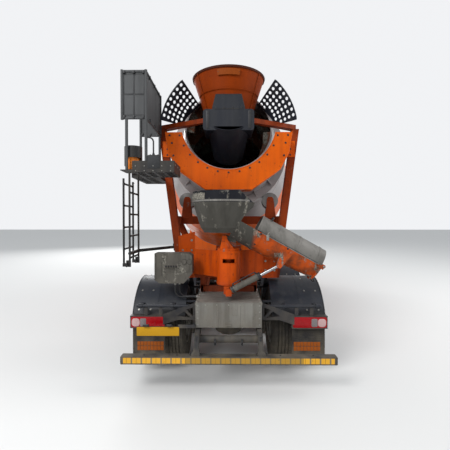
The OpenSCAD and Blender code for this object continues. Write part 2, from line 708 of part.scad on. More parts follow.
module chute_pedestal() color(orange) {
    face_y = post_y[0] - gap;
    wing_z0 = column_z[0] + 60;
    wing = [[column_r * 0.62, swivel_y + column_r * 0.72], [column_r * 0.5, swivel_y + column_r * 0.86],
        [480, face_y], [500, face_y]];
    difference() {
        union() {
            z_disc(0, swivel_y, column_z, column_r);
            both_sides() {
                along_z([wing_z0, column_z[1] - 20]) polygon(wing);
                along_y([face_y - 12, face_y]) polygon([[470, post_foot[1]], [post_foot[0] + 20, post_foot[1]],
                    [post_x(1800) - 30, 1800], [470, 1860]]);
            }
            along_z([wing_z0, wing_z0 + 12])
                polygon([[-wing[0][0], wing[0][1]], [-wing[3][0], face_y], [wing[3][0], face_y], [wing[0][0], wing[0][1]]]);
            along_z([column_z[1] - 60, column_z[1] - 48])
                polygon([[-wing[0][0], wing[0][1]], [-wing[3][0], face_y], [wing[3][0], face_y], [wing[0][0], wing[0][1]]]);
        }
        z_disc(0, swivel_y, [column_z[0] - 5, column_z[1] + 5], shaft_r + run);
        // Void between the bearings, and the dark slot that shows it
        z_disc(0, swivel_y, [column_z[0] + 70, column_z[1] - 100], column_r - 12);
        slab([-75, 75], [swivel_y - column_r - 5, swivel_y - 40], [column_z[1] - 150, column_z[1] - 99]);
    }
}

shaft_r = 55;
arm_z = [ram_base_z - 40, column_z[0] - 5];

// Swivel: shaft, head with the chute's hinge, arm to the ram
module chute_swivel() color(orange) {
    z_disc(0, swivel_y, [arm_z[0], column_z[1] + 25], shaft_r);
    z_disc(0, swivel_y, [column_z[1] + gap, column_z[1] + 25], column_r - 10);
    for (e = [-1, 1])
        along_y([swivel_y + e * 104 - 8, swivel_y + e * 104 + 8])
            polygon(concat([[hinge_x - 60, column_z[1] + 20]],
                arc([hinge_x, hinge_z], 34, 200, -20, 8), [[hinge_x + 120, column_z[1] + 20]]));
    y_disc(hinge_x, [swivel_y - 112, swivel_y + 112], hinge_z, 16);
    slab([-60, 10], [ram_y + 23, swivel_y], arm_z);
    slab([-60, 60], [ram_y + 45, swivel_y], arm_z);
    for (y = [ram_y - 36, ram_y + 23]) difference() {
        union() {
            y_disc(0, [y, y + 13], ram_base_z, 36);
            slab([-36, 36], [y, y + 13], [ram_base_z - 52, ram_base_z]);
        }
    }
    slab([-36, 36], [ram_y - 36, ram_y + 36], [ram_base_z - 52, ram_base_z - 40]);
    y_disc(0, [ram_y - 36, ram_y + 30], ram_base_z, 14);
}

// The chute's own frame: local x down the slope, z square to it, origin on the raise hinge
module in_chute() translate([hinge_x, swivel_y, hinge_z]) rotate([0, chute_slope, 0]) children();

module u_rod(u, v, w, r) translate([u[0], v, w]) rotate([0, 90, 0]) cylinder(h = u[1] - u[0], r = r);

taper_u = 500;
module trough_cone(t, u0, u1) {
    translate([u0, 0, trough_axis_w]) rotate([0, 90, 0]) cylinder(h = taper_u - u0, r = trough_r - t);
    translate([taper_u, 0, trough_axis_w]) rotate([0, 90, 0])
        cylinder(h = u1 - taper_u, r1 = trough_r - t, r2 = trough_r - t - (trough_r - trough_end_r) * (u1 - taper_u) / (trough_l - taper_u));
}

// Bowl profile: radius first, then height
bowl_z = [1868, 2240];
bowl_top = 2375;
module bowl(t, top) translate([-60, swivel_y, 0]) rotate_extrude()
    polygon([[0, bowl_z[0] + t], [250 - t, bowl_z[0] + t], [295 - t, bowl_z[0] + 60], [bowl_r - t, bowl_z[1]],
        [bowl_r - t, top], [0, top]]);

module chute_trough() {
    color(steel) difference() {
        union() {
            difference() {
                bowl(0, bowl_top);
                // The band above the lip ends in a slant towards the trough
                along_y([swivel_y - 900, swivel_y + 900])
                    polygon([[130, bowl_top + 1], [300, bowl_z[1]], [900, bowl_z[1]], [900, bowl_top + 400], [130, bowl_top + 400]]);
            }
            difference() {
                in_chute() trough_cone(0, 40, trough_l);
                in_chute() slab([-400, trough_l + 100], [-500, 500], [trough_axis_w, trough_axis_w + 900]);
                bowl(chute_t, bowl_z[1] + 400);
            }
        }
        difference() {
            bowl(chute_t, bowl_z[1] + 400);
            translate([-60, swivel_y, bowl_z[0]]) cylinder(h = 1, r = 1);
        }
        in_chute() trough_cone(chute_t, 60, trough_l + 50);
    }
    color(orange) in_chute() {
        // Straps and end ring round the underside
        for (u = [330, 700]) trough_band(u, u + 55, 6);
        trough_band(trough_l - 20, trough_l, 26);
        // Lugs on the raise hinge
        for (v = [-84, 70]) difference() {
            translate([0, v + 14, 0]) rotate([90, 0, 0]) linear_extrude(14)
                polygon(concat([[130, 70]], arc([0, 0], 34, 90, 330, 10), [[150, 10]]));
            translate([0, v - 1, 0]) rotate([-90, 0, 0]) cylinder(h = 16, r = 16 + run);
        }
        // Lug of the ram's rod, on the side
        for (v = [ram_y - swivel_y - 32, ram_y - swivel_y + 20])
            translate([0, v + 12, 0]) rotate([90, 0, 0]) linear_extrude(12)
                polygon([[rod_eye_u - 70, 215], [rod_eye_u - 26, 10], [rod_eye_u, rod_eye_w - 30],
                    [rod_eye_u + 26, 10], [rod_eye_u + 70, 215]]);
        translate([rod_eye_u, ram_y - swivel_y - 32, rod_eye_w]) rotate([-90, 0, 0]) cylinder(h = 64, r = 12);
        // Hinge eyes for the folding extension
        for (v = [-trough_end_r - 30, trough_end_r + 6]) difference() {
            translate([fold_u, v + 24, lid_axis_w]) rotate([90, 0, 0]) union() {
                cylinder(h = 24, r = 22);
                translate([-60, -40, 0]) cube([70, 40, 24]);
            }
            translate([fold_u, v - 1, lid_axis_w]) rotate([-90, 0, 0]) cylinder(h = 26, r = 10 + run);
        }
    }
}

// A half band under the trough
module trough_band(u0, u1, h) difference() {
    intersection() {
        trough_cone(-h, -200, trough_l + 60);
        slab([u0, u1], [-500, 500], [-500, trough_axis_w - 6]);
    }
    trough_cone(1, 0, trough_l + 80);
}

// Folding extension, upside down over the trough at rest
ext_u = [300, trough_l - 4];
module chute_extension() color(steel) in_chute() {
    difference() {
        translate([ext_u[0], 0, lid_axis_w]) rotate([0, 90, 0]) cylinder(h = ext_u[1] - ext_u[0], r = trough_end_r);
        translate([ext_u[0] - 1, 0, lid_axis_w]) rotate([0, 90, 0]) cylinder(h = ext_u[1] - ext_u[0] + 2, r = trough_end_r - chute_t);
        slab([ext_u[0] - 5, ext_u[1] + 5], [-500, 500], [-500, lid_axis_w]);
    }
    for (s = [-1, 1]) {
        v0 = s > 0 ? trough_end_r - chute_t : -trough_end_r - 4;
        slab([ext_u[1] - 60, fold_u], [v0, v0 + chute_t + 4], [lid_axis_w + 1, lid_axis_w + 22]);
        translate([fold_u, s > 0 ? trough_end_r - chute_t : -trough_end_r - 32, lid_axis_w]) rotate([-90, 0, 0])
            cylinder(h = 32 + chute_t, r = 10);
    }
}

ram_dir = [cos(ram_angle), sin(ram_angle)];
// The ram's own frame: local x along the rod, origin on the base pin
module in_ram() translate([0, ram_y, ram_base_z]) rotate([0, -ram_angle, 0]) children();

module ram_barrel() color(black) in_ram() difference() {
    union() {
        translate([0, 18, 0]) rotate([90, 0, 0]) cylinder(h = 36, r = 30);
        rotate([0, 90, 0]) cylinder(h = 60, r = 16);
        translate([40, 0, 0]) rotate([0, 90, 0]) cylinder(h = barrel_len - 40, r = ram_r);
    }
    translate([0, 20, 0]) rotate([90, 0, 0]) cylinder(h = 40, r = 14 + run);
    translate([60, 0, 0]) rotate([0, 90, 0]) cylinder(h = barrel_len - 90, r = ram_r - 8);
    translate([60, 0, 0]) rotate([0, 90, 0]) cylinder(h = barrel_len, r = ram_rod_r + run);
}

rod_eye_play = 4;
module ram_rod() color([0.75, 0.75, 0.75]) in_ram() difference() {
    union() {
        translate([ram_len - 560, 0, 0]) rotate([0, 90, 0]) cylinder(h = 540, r = ram_rod_r);
        translate([ram_len - 560, 0, 0]) rotate([0, 90, 0]) cylinder(h = 30, r = ram_r - 8 - run);
        translate([ram_len, 18, 0]) rotate([90, 0, 0]) cylinder(h = 36, r = 30);
    }
    translate([ram_len, 20, 0]) rotate([90, 0, 0]) cylinder(h = 40, r = 12 + rod_eye_play);
}

// Collector: a U-shaped gutter with a crescent rear wall

collector_y = [rear_y + 542, post_y[0] - 10];
collector_low = 2420;
function collector_side(t) = [[300 - t * 0.3, collector_low + t], [670 - t, 2680 + t * 0.5], [780 - t, 2900],
    [820 - t, 3160]];
function collector_outline(t, top) = concat(
    [for (p = collector_side(t)) [-p[0], p[1]]], [[-820 + t, top], [820 - t, top]],
    [for (i = [3:-1:0]) collector_side(t)[i]]);

module discharge_collector() color(orange) difference() {
    union() {
        along_y(collector_y) difference() {
            polygon(collector_outline(0, 3160));
            polygon(collector_outline(sheet_t, 3200));
        }
        along_y([collector_y[0], collector_y[0] + sheet_t]) difference() {
            polygon(collector_outline(0, 3160));
            translate([0, mouth_z]) circle(mouth_r + 20);
        }
        both_sides() slab([800, post_x(3000) + 30], [post_y[0] - 10, post_y[0] - gap], [2900, 3120]);
    }
    slab([-210, 210], [collector_y[0] + 20, mouth_y - 170], [collector_low - 20, collector_low + 40]);
}

// Charging hopper: a leaning cone cut level at rim and foot

hopper_foot_z = mouth_z + 150;
hopper_foot_y = rear_y + 520 + hopper_foot_r + 25;
hopper_rim_y = rear_y + 990;
hopper_lean = atan((hopper_rim_y - hopper_foot_y) / (hopper_top - hopper_foot_z));
hopper_len = norm([hopper_rim_y - hopper_foot_y, hopper_top - hopper_foot_z]);
hopper_flare = (hopper_rim_r - hopper_foot_r) / hopper_len;

module hopper_cone(t) translate([0, hopper_foot_y, hopper_foot_z]) rotate([-hopper_lean, 0, 0])
    translate([0, 0, -200]) cylinder(h = hopper_len + 400, r1 = hopper_foot_r - 200 * hopper_flare + t,
        r2 = hopper_rim_r + 200 * hopper_flare + t);

// Everything behind a plane that lies g behind the drum's mouth
module behind_mouth(g) in_drum() translate([-900, -1500, -1500 - g]) cube([1800, 3000, 1500]);

// The front wall is flat, square to the drum's axis, and stays clear of the mouth
hopper_clear = 14;
module charging_hopper() color(orange) difference() {
    intersection() {
        union() {
            intersection() {
                hopper_cone(0);
                slab([-900, 900], [rear_y, rear_y + 2500], [hopper_foot_z + gap, hopper_top]);
            }
            intersection() {
                hopper_cone(14);
                slab([-900, 900], [rear_y, rear_y + 2500], [hopper_top - 26, hopper_top]);
            }
        }
        behind_mouth(hopper_clear);
    }
    intersection() {
        hopper_cone(-sheet_t);
        behind_mouth(hopper_clear + sheet_t);
    }
}

// Collar and feed chute: a box under the hopper and a spout into the drum

collar_y = [rear_y + 520, mouth_y + (hopper_foot_z - mouth_z) * tan(drum_tilt) - hopper_clear + 12];
collar_z = [hopper_foot_z - collar_h, hopper_foot_z];
feed_a = [0, mouth_y - 290, mouth_z + 100];
feed_b = [0, mouth_y + 220, mouth_z - 310];

module feed_cone(t, more) {
    d = feed_b - feed_a;
    translate(feed_a) rotate([0, acos(d[2] / norm(d)), atan2(d[1], d[0])])
        translate([0, 0, -more]) cylinder(h = norm(d) + 2 * more,
            r1 = feed_r + 70 + t + more * 70 / norm(d), r2 = feed_r + t - more * 70 / norm(d));
}

module feed_chute() color(black) {
    difference() {
        union() {
            along_y(collar_y) polygon(rounded(collar_w / 2, collar_z, 40));
            feed_cone(0, 0);
        }
        along_y([collar_y[0] + sheet_t, collar_y[1] - sheet_t])
            polygon(rounded(collar_w / 2 - sheet_t, collar_z + [sheet_t, -sheet_t], 40 - sheet_t));
        feed_cone(-sheet_t, 1);
        intersection() {
            z_disc(0, hopper_foot_y, [collar_z[1] - 40, collar_z[1] + 10], hopper_foot_r - sheet_t);
            slab([-900, 900], [rear_y, collar_y[1] - 20], [collar_z[1] - 60, collar_z[1] + 20]);
        }
        slab([-900, 900], [rear_y, rear_y + 2500], [collar_z[1], collar_z[1] + 900]);
    }
    // Flap standing on the collar's rear edge
    along_y([collar_y[0], collar_y[0] + 8])
        polygon([[-210, collar_z[1] - 1], [210, collar_z[1] - 1], [165, collar_z[1] + 190], [-165, collar_z[1] + 190]]);
}

// Perforated guards beside the hopper

guard_y = [rear_y + 650, rear_y + 1000];
guard_t = 5;
guard_rows = 6;
guard_columns = 7;

guard_slant = atan((guard_r - guard_in_r) / (guard_y[1] - guard_y[0]));
guard_clear = 30;

module guard_sheet() translate([0, guard_y[0], guard_axis_z]) rotate([-90, 0, 0]) rotate_extrude($fn = 200)
    polygon([[guard_r - guard_t, 0], [guard_r, 0], [guard_in_r, guard_y[1] - guard_y[0]],
        [guard_in_r - guard_t, guard_y[1] - guard_y[0]]]);
// Each hole: how far along, its radius, its turn
function guard_hole(j, i) = let(share = 0.09 + j * 0.16) [guard_y[0] + share * (guard_y[1] - guard_y[0]),
    guard_r + share * (guard_in_r - guard_r), 14.5 + i * 5];
function past_mouth(y, z) = (y - mouth_y) * cos(drum_tilt) - (z - mouth_z) * sin(drum_tilt);
guard_holes = [for (i = [0:guard_columns - 1], j = [0:guard_rows - 1]) let(h = guard_hole(j, i))
    if (past_mouth(h[0], guard_axis_z + h[1] * sin(h[2])) < -guard_clear - 30
        && guard_axis_z + h[1] * sin(h[2]) > post_head[1] + 60 + gap + 30) h];

// Each guard is a piece of a cone that narrows towards the mouth
module drum_guards() color(black) both_sides() difference() {
    intersection() {
        guard_sheet();
        behind_mouth(guard_clear);
    }
    slab([-2000, 2000], [guard_y[0] - 5, guard_y[1] + 5], [guard_axis_z - 2000, post_head[1] + 60 + gap]);
    translate([0, 0, guard_axis_z]) rotate([0, -48, 0])
        slab([-2000, 2000], [guard_y[0] - 5, guard_y[1] + 5], [0, 2000]);
    for (h = guard_holes)
        translate([0, h[0], guard_axis_z]) rotate([0, 90 - h[2], 0]) translate([0, 0, h[1]])
            rotate([-guard_slant, 0, 0]) cylinder(h = 60, r = guard_hole_r, center = true);
}

// Drum: cones and a cylinder as one revolved shell, with its roller ring

function drum_outline(t) = [[mouth_r - t, -t], [drum_r - t, rear_cone_l], [drum_r - t, barrel_s],
    [drum_front_r - t, front_s - t * 0.3], [drum_front_r * 0.68, drum_end_s - 70 - t], [0, drum_end_s - t]];
function shell_r(s) = mouth_r + (drum_r - mouth_r) * s / rear_cone_l;

module mixer_drum() color(orange) in_drum() rotate_extrude() union() {
    difference() {
        polygon(concat([[0, 0]], [[mouth_r, 0]], [for (i = [1:5]) drum_outline(0)[i]]));
        polygon(concat([[0, -10]], [[mouth_r - drum_t, -10]], [[mouth_r - drum_t, 0]],
            [for (i = [1:5]) drum_outline(drum_t)[i]]));
    }
    polygon([[mouth_r - 4, 0], [mouth_r + 14, 0], [mouth_r + 14, 22], [mouth_r - 1, 22]]);
    polygon([[shell_r(ring_s - ring_w / 2) - 4, ring_s - ring_w / 2], [ring_r, ring_s - ring_w / 2],
        [ring_r, ring_s + ring_w / 2], [shell_r(ring_s + ring_w / 2) - 4, ring_s + ring_w / 2]]);
    translate([0, drum_end_s - 40]) square([215, 60]);
}

// Two spiral blades that run from the mouth to the front cone
blade_seg = 20;
blade_t = 6;
blade_s = [60, front_s - 300];
function inner_r(s) = s < rear_cone_l
    ? mouth_r - drum_t + (drum_r - mouth_r) * s / rear_cone_l
    : s < barrel_s ? drum_r - drum_t
    : drum_r - drum_t - (drum_r - drum_front_r) * (s - barrel_s) / (front_cone_l - 0.3 * drum_t);
function blade_height(s) = s < 400 ? 110 : min(blade_h, 110 + (s - 400) * 0.35);

module blade(start) {
    n = blade_seg * blade_turns;
    ring = [for (i = [0:n])
        let (s = blade_s[0] + (blade_s[1] - blade_s[0]) * i / n, a = start + 360 * i / blade_seg,
            ro = min(inner_r(s), inner_r(s + blade_t)) - gap - 0.65, ri = ro - blade_height(s))
        each [[ro * cos(a), ro * sin(a), s], [ro * cos(a), ro * sin(a), s + blade_t],
            [ri * cos(a), ri * sin(a), s + blade_t + 30], [ri * cos(a), ri * sin(a), s + 30]]];
    sides = [for (i = [0:n - 1], j = [0:3])
        let (k = (j + 1) % 4) each [[4 * i + j, 4 * i + k, 4 * i + 4 + k], [4 * i + j, 4 * i + 4 + k, 4 * i + 4 + j]]];
    polyhedron(ring, concat(sides, [[3, 2, 1], [3, 1, 0]],
        [[4 * n, 4 * n + 1, 4 * n + 2], [4 * n, 4 * n + 2, 4 * n + 3]]));
}

module drum_blades() color(orange) in_drum() for (a = [0, 180]) blade(a);

// Gearbox and hydraulic motor
module drum_drive() color(chassis_grey) in_drum() {
    translate([0, 0, drive_s]) cylinder(h = plate_s - drive_s - gap, r = 205);
    translate([0, 0, plate_s - 30]) cylinder(h = 30 - gap, r = 260);
    translate([0, 0, plate_s - 31]) cylinder(h = 180, r = 199);
    translate([0, 0, plate_s + 140]) cylinder(h = drive_l[1] - 140, r = 95);
    translate([-70, 60, plate_s + 160]) cube([140, 90, 110]);
}

// Control cabinet on an arm from the pedestal
cabinet_x = [-957, -470];
cabinet_y = [rear_y + 500, rear_y + 700];
module control_cabinet() color(steel) {
    along_y(cabinet_y)
        polygon([[cabinet_x[0], 1250], [cabinet_x[0] + 60, 1205], [cabinet_x[1] - 110, 1205], [cabinet_x[1], 1330],
            [cabinet_x[1], 1560], [cabinet_x[1] - 40, 1590], [cabinet_x[0], 1590]]);
    slab([-660, -600], [cabinet_y[1] - 1, post_y[0] - 12 - 2 * gap], [1240, 1290]);
    for (i = [0:4])
        rod([cabinet_x[0] + 150 + i * 32, cabinet_y[0] + 2, 1400],
            [cabinet_x[0] + 158 + i * 32, cabinet_y[0] - 50, 1430], 6);
}

// Platform and upper ladder

platform_z = [platform_top - 30, platform_top];
platform_inner = -post_x(platform_top) - 50 / cos(atan(post_lean)) - gap - 3;
rear_zone_y = [rear_y + 5, rear_y + 510];
front_zone_y = [rear_y + 510, rear_y + 1300];

arm_foot_z = fold_z + 140;
module access_platform() color([0.16, 0.13, 0.11]) {
    difference() {
        union() {
            slab([-1100, -620], rear_zone_y, platform_z);
            slab([-side_x, platform_inner], front_zone_y, platform_z);
            slab([-1236, -1090], [rear_zone_y[0], rear_zone_y[0] + 250], [platform_top - 10, platform_top]);
        }
        // Open grating
        for (i = [0:4], j = [0:3])
            slab([-1060 + j * 110, -980 + j * 110], [rear_zone_y[0] + 40 + i * 92, rear_zone_y[0] + 110 + i * 92],
                [platform_z[0] - 1, platform_z[1] + 1]);
        for (i = [0:6], j = [0:1])
            slab([-1210 + j * 135, -1110 + j * 135], [front_zone_y[0] + 30 + i * 108, front_zone_y[0] + 110 + i * 108],
                [platform_z[0] - 1, platform_z[1] + 1]);
    }
    // Toe boards
    slab([-1100, -620], [rear_zone_y[0], rear_zone_y[0] + 6], [platform_top - 1, platform_top + 100]);
    slab([-626, -620], rear_zone_y, [platform_top - 1, platform_top + 100]);
    slab([-side_x, -side_x + 6], front_zone_y, [platform_top - 1, platform_top + 100]);
    slab([-side_x, platform_inner], [front_zone_y[1] - 6, front_zone_y[1]], [platform_top - 1, platform_top + 100]);
    // Upper ladder and its foot arm
    for (y = ladder_y) rod([ladder_x, y, fold_z + 20], [ladder_x, y, platform_top - 5], 12);
    for (z = [fold_z + 90:rung_step:platform_top - 120])
        rod([ladder_x, ladder_y[0], z], [ladder_x, ladder_y[1], z], 11);
    for (y = ladder_y) slab([ladder_x, -1080], [y - 12, y + 12], [platform_top - 30, platform_top - 1]);
    rod([ladder_x, ladder_y[1], arm_foot_z], [-post_x(arm_foot_z) - 74, post_y[0] + 50, arm_foot_z], 20);
    along_y([post_y[0] + 15, post_y[0] + 85])
        polygon([for (q = [[50 + gap, -50], [50 + gap, 50], [64, 50], [64, -50]])
            [-post_x(arm_foot_z + q[1]) - q[0], arm_foot_z + q[1]]]);
    rod([ladder_x, ladder_y[0], arm_foot_z], [ladder_x, ladder_y[1], arm_foot_z], 20);
    // Cheeks that hold the fold's pin
    for (y = ladder_y) {
        slab([fold_x - 12, ladder_x + 8], [y + 12 + gap, y + 20], [fold_z - 16, fold_z + 60]);
        slab([ladder_x - 10, ladder_x + 8], [y, y + 13], [fold_z + 22, fold_z + 60]);
        y_disc(fold_x, [y - 15, y + 20], fold_z, 8);
    }
    // Box for the lamp wiring
    slab([-920, -785], [rear_zone_y[0] + 1, rear_zone_y[0] + 70], [platform_top - 1, platform_top + 165]);
}

// Lower ladder, folded up outside the upper one
module lower_ladder() color([0.12, 0.11, 0.10]) {
    for (y = ladder_y) {
        rod([ladder_x - 68, y, fold_z + 10], [ladder_x - 68, y, fold_z + 1000], 12);
        difference() {
            union() {
                slab([ladder_x - 80, fold_x + 4], [y - 12, y + 12], [fold_z - 10, fold_z + 30]);
                y_disc(fold_x, [y - 12, y + 12], fold_z, 16);
            }
            y_disc(fold_x, [y - 30, y + 30], fold_z, 8 + run);
        }
    }
    for (z = [fold_z + 190:rung_step:fold_z + 990])
        rod([ladder_x - 68, ladder_y[0], z], [ladder_x - 68, ladder_y[1], z], 11);
}

// Rails and infill panels round the platform
panel_t = 4;
far_y = front_zone_y[0] + 340;
module panel_rails(a, b)
    for (z = [rail_mid, rail_top]) rod([a[0], a[1], z], [b[0], b[1], z], tube_r - 1);

module guard_panels() color(black) {
    outer_x = -side_x + 32;
    inner_x = -guard_r - 30;
    y0 = rear_zone_y[0] + 25;
    for (y = [y0, far_y]) {
        panel_rails([outer_x, y], [inner_x, y]);
        slab([outer_x, inner_x], [y - panel_t / 2, y + panel_t / 2], [rail_mid, rail_top]);
    }
    panel_rails([inner_x, y0], [inner_x, far_y]);
    slab([inner_x - panel_t / 2, inner_x + panel_t / 2], [y0, far_y], [rail_mid, rail_top]);
    // Posts, some of them down to the platform
    z_disc(outer_x, y0, [rail_mid - tube_r, rail_top + tube_r], tube_r);
    z_disc(outer_x + 50, y0, [platform_top + gap, rail_mid], tube_r);
    z_disc(inner_x, y0, [platform_top + gap, rail_top + tube_r], tube_r);
    z_disc(outer_x, far_y, [platform_top + gap, rail_top + tube_r], tube_r);
    z_disc(inner_x, far_y, [rail_mid - tube_r, rail_top + tube_r], tube_r);
    z_disc(inner_x - 10, far_y, [platform_top + gap, rail_mid], tube_r);
}

// Amber lamp under a hood, at the corner of the platform
module warning_beacon() {
    c = [-1125, rear_zone_y[0] + 148];
    color([0.95, 0.45, 0.05]) z_disc(c[0], c[1], [platform_top + gap, platform_top + 190], 75);
    color(black) difference() {
        z_disc(c[0], c[1], [platform_top + 60, platform_top + 285], 103);
        z_disc(c[0], c[1], [platform_top + 30, platform_top + 279], 98);
        slab([c[0] - 200, c[0] + 200], [c[1] - 200, c[1] - 20], [platform_top, platform_top + 150]);
    }
    color(black) for (x = [-100, 70]) slab([c[0] + x, c[0] + x + 20], [c[1] + 20, c[1] + 50], [platform_top + gap, platform_top + 120]);
}

// Hoses, each with one bend
module hoses() color(rubber) {
    bend = 85;
    z = frame_top + 15;
    for (d = [0, 50]) {
        y = cabinet_y[0] + 80 + d;
        z_disc(d - 700, y, [z + bend, 1205 - gap], 11);
        translate([d - 700 + bend, y, z + bend]) rotate([90, 0, 0])
            rotate([0, 0, 180]) rotate_extrude(angle = 90) translate([bend, 0]) circle(r = 11);
        x_disc([d - 700 + bend, -cover_w / 2 - gap], y, z, 11);
    }
    y = rear_zone_y[0] + 25;
    box = platform_top + 165;
    z_disc(-860, y, [box + gap, box + 150], 9);
    translate([-915, y, box + 150]) rotate([90, 0, 0])
        rotate_extrude(angle = 90) translate([55, 0]) circle(r = 9);
    x_disc([-guard_r - 30 + tube_r + gap, -915], y, box + 205, 9);
}

// Tanks hung on the rails

tank_span = [axle_3 + mud_r + 120, axle_2 - mud_r - 120];
tank_l = min(900, tank_span[1] - tank_span[0]);
module side_tanks() color(steel) {
    x = [frame_w / 2 + 220, side_x - 170];
    z = [560, 960];
    along_y([tank_span[1] - tank_l, tank_span[1]])
        polygon(concat(arc([x[0], z[0]], 60, 180, 270, 6), arc([x[1], z[0]], 60, 270, 360, 6),
            arc([x[1], z[1]], 60, 0, 90, 6), arc([x[0], z[1]], 60, 90, 180, 6)));
    for (y = [tank_span[1] - tank_l * 5 / 6, tank_span[1] - 200])
        slab([frame_w / 2 + gap, 570], [y, y + 50], [frame_bottom + 30, frame_top - 40]);
    // Air tanks and battery box on the left
    for (z = [560, 800]) y_disc(-720, [tank_span[1] - tank_l + 50, tank_span[1]], z, 110);
    slab([-740, -700], [tank_span[1] - tank_l * 2 / 3, tank_span[1] - tank_l * 2 / 9], [600, 760]);
    for (y = [tank_span[1] - tank_l * 7 / 9, tank_span[1] - 150])
        slab([-640, -frame_w / 2 - gap], [y, y + 50], [780, 830]);
    slab([-side_x + 90, -side_x + 370], [tank_span[1] - tank_l * 0.62, tank_span[1]], [520, 900]);
    slab([-side_x + 350, -800], [tank_span[1] - tank_l * 4 / 9, tank_span[1] - 100], [780, 820]);
}

module side_guards() color(steel) both_sides() {
    y0 = tank_span[0] - 60;
    y1 = tank_span[1] + 60;
    for (z = [560, 860]) slab([side_x - 50, side_x - 20], [y0, y1], [z, z + 100]);
    for (y = [y0 + 40, y1 - 50]) {
        slab([side_x - 70, side_x - 49], [y, y + 40], [560, 960]);
        slab([frame_w / 2 + gap, side_x - 60], [y, y + 30], [920, 950]);
    }
}

// Front bumper: an open shell with steps and a tow jaw

bumper_z = [380, 880];
bumper_t = 50;
bumper_x = side_x - 10;
bumper_y0 = axle_1 + arch_r + 50;
function bumper_plan(t) = concat([[-bumper_x + t, bumper_y0 - t]],
    arc([-bumper_x + 200, front_y - 200], 200 - t, 180, 90, 8),
    arc([bumper_x - 200, front_y - 200], 200 - t, 90, 0, 8), [[bumper_x - t, bumper_y0 - t]]);
lamp_z1 = [620, 760];

module front_bumper() color(orange) {
    difference() {
        along_z(bumper_z) difference() {
            polygon(bumper_plan(0));
            polygon(bumper_plan(bumper_t));
        }
        both_sides() slab([760, 1010], [front_y - 120, front_y + 50], lamp_z1);
        slab([-150, 150], [front_y - 100, front_y + 10], [bumper_z[0] - 10, 600]);
        for (z = [470, 690]) both_sides() slab([bumper_x - 100, bumper_x + 20], [bumper_y0 + 60, bumper_y0 + 330], [z, z + 130]);
    }
    both_sides() {
        for (z = [450, 670]) slab([bumper_x - 200, bumper_x - 5], [bumper_y0 + 20, bumper_y0 + 360], [z, z + 20]);
        slab([frame_w / 2 - 60, frame_w / 2 - 40], [rail_front - 200, front_y - 30], [frame_bottom + 20, bumper_z[1] - 20]);
        slab([frame_w / 2 - 60, frame_w / 2 - rail_t - gap], [rail_front - 200, rail_front - 100], [frame_bottom + 20, bumper_z[1] - 20]);
    }
    difference() {
        for (z = [450, 560]) slab([-70, 70], [front_y - 95, front_y - 8], [z, z + 30]);
        z_disc(0, front_y - 48, [430, 610], 20);
    }
    slab([-160, 160], [front_y - 120, front_y - 90], [430, 610]);
    both_sides() slab([140, 160], [front_y - 120, front_y - 30], [430, 610]);
}

module head_lamps() color(glass) both_sides() {
    slab([760 + gap, 1010 - gap], [front_y - 70, front_y - 8], [lamp_z1[0] + gap, lamp_z1[1] - gap]);
}

// Cab: profile from the side crossed with a rounded plan

function cab_profile(t) = [[cab_rear + t, cab_bottom], [cab_rear + t, cab_top - 60 - t], [cab_rear + 60 + t, cab_top - t],
    [cab_front - 520, cab_top - t], [cab_front - 330 - t, cab_top - 60 - t], [cab_front - t, sill_z - 60 + t * 0.1],
    [cab_front - t, cab_bottom]];
function cab_plan(t) = concat(
    arc([cab_x - 50, cab_rear + 50], 50 - t * 0.9, -90, 0, 4), arc([cab_x - 160, cab_front - 160], 160 - t, 0, 90, 8),
    arc([-cab_x + 160, cab_front - 160], 160 - t, 90, 180, 8), arc([-cab_x + 50, cab_rear + 50], 50 - t * 0.9, 180, 270, 4));

module cab_form(t) intersection() {
    along_x([-cab_x + t, cab_x - t]) polygon(cab_profile(t));
    along_z([cab_bottom - 1, cab_top + 1]) polygon(cab_plan(t));
}

function door_outline(g) = [[door_y[0] - g, door_z[0] - g], [door_y[1] + g, door_z[0] - g], [door_y[1] + g, sill_z],
    [door_y[1] - 130 + g, door_z[1] + g], [door_y[0] - g, door_z[1] + g]];
function door_window(g) = [[door_y[0] + 90 - g, sill_z - g], [door_y[1] - 80 + g, sill_z - g],
    [door_y[1] - 200 + g, door_z[1] - 90 + g], [door_y[0] + 90 - g, door_z[1] - 90 + g]];
function screen_outline(g) = [[-cab_x + 190 - g, sill_z + 20 - g], [cab_x - 190 + g, sill_z + 20 - g],
    [cab_x - 220 + g, cab_top - 200 + g], [-cab_x + 220 - g, cab_top - 200 + g]];

module cab_shell() color(orange) difference() {
    union() {
        difference() {
            cab_form(0);
            difference() {
                cab_form(cab_t);
                slab([-cab_x, cab_x], [cab_rear, cab_front], [floor_z, floor_z + 40]);
            }
            slab([-cab_x + cab_t, cab_x - cab_t], [cab_rear + cab_t, cab_front - cab_t], [cab_bottom - 10, cab_bottom + 5]);
        }
        // Visor over the windscreen and corner vanes
        slab([-cab_x + 150, cab_x - 150], [cab_front - 330, cab_front - 160], [cab_top - 130, cab_top - 105]);
    }
    for (s = [-1, 1]) {
        along_x(s > 0 ? [cab_x - 200, cab_x + 10] : [-cab_x - 10, -cab_x + 200]) polygon(door_outline(0));
    }
    along_y([cab_front - 500, cab_front + 50]) polygon(screen_outline(0));
    slab([-700, 700], [cab_rear - 10, cab_rear + cab_t + 20], [sill_z + 100, cab_top - 350]);
    x_disc([-cab_x - 10, cab_x + 10], axle_1, axle_z, arch_r);
    // Grille openings in the front panel
    for (i = [0:4]) slab([-700, 700], [cab_front - cab_t - 10, cab_front + 10], [cab_bottom + 110 + i * 90, cab_bottom + 160 + i * 90]);
    door_hinge_pockets(19);
}

// Door hinges: barrels on the door between lugs on the cab
hinge_at = [cab_x + 2, door_y[1] + 3];
door_hinge_z = [door_z[0] + 180, sill_z - 80];

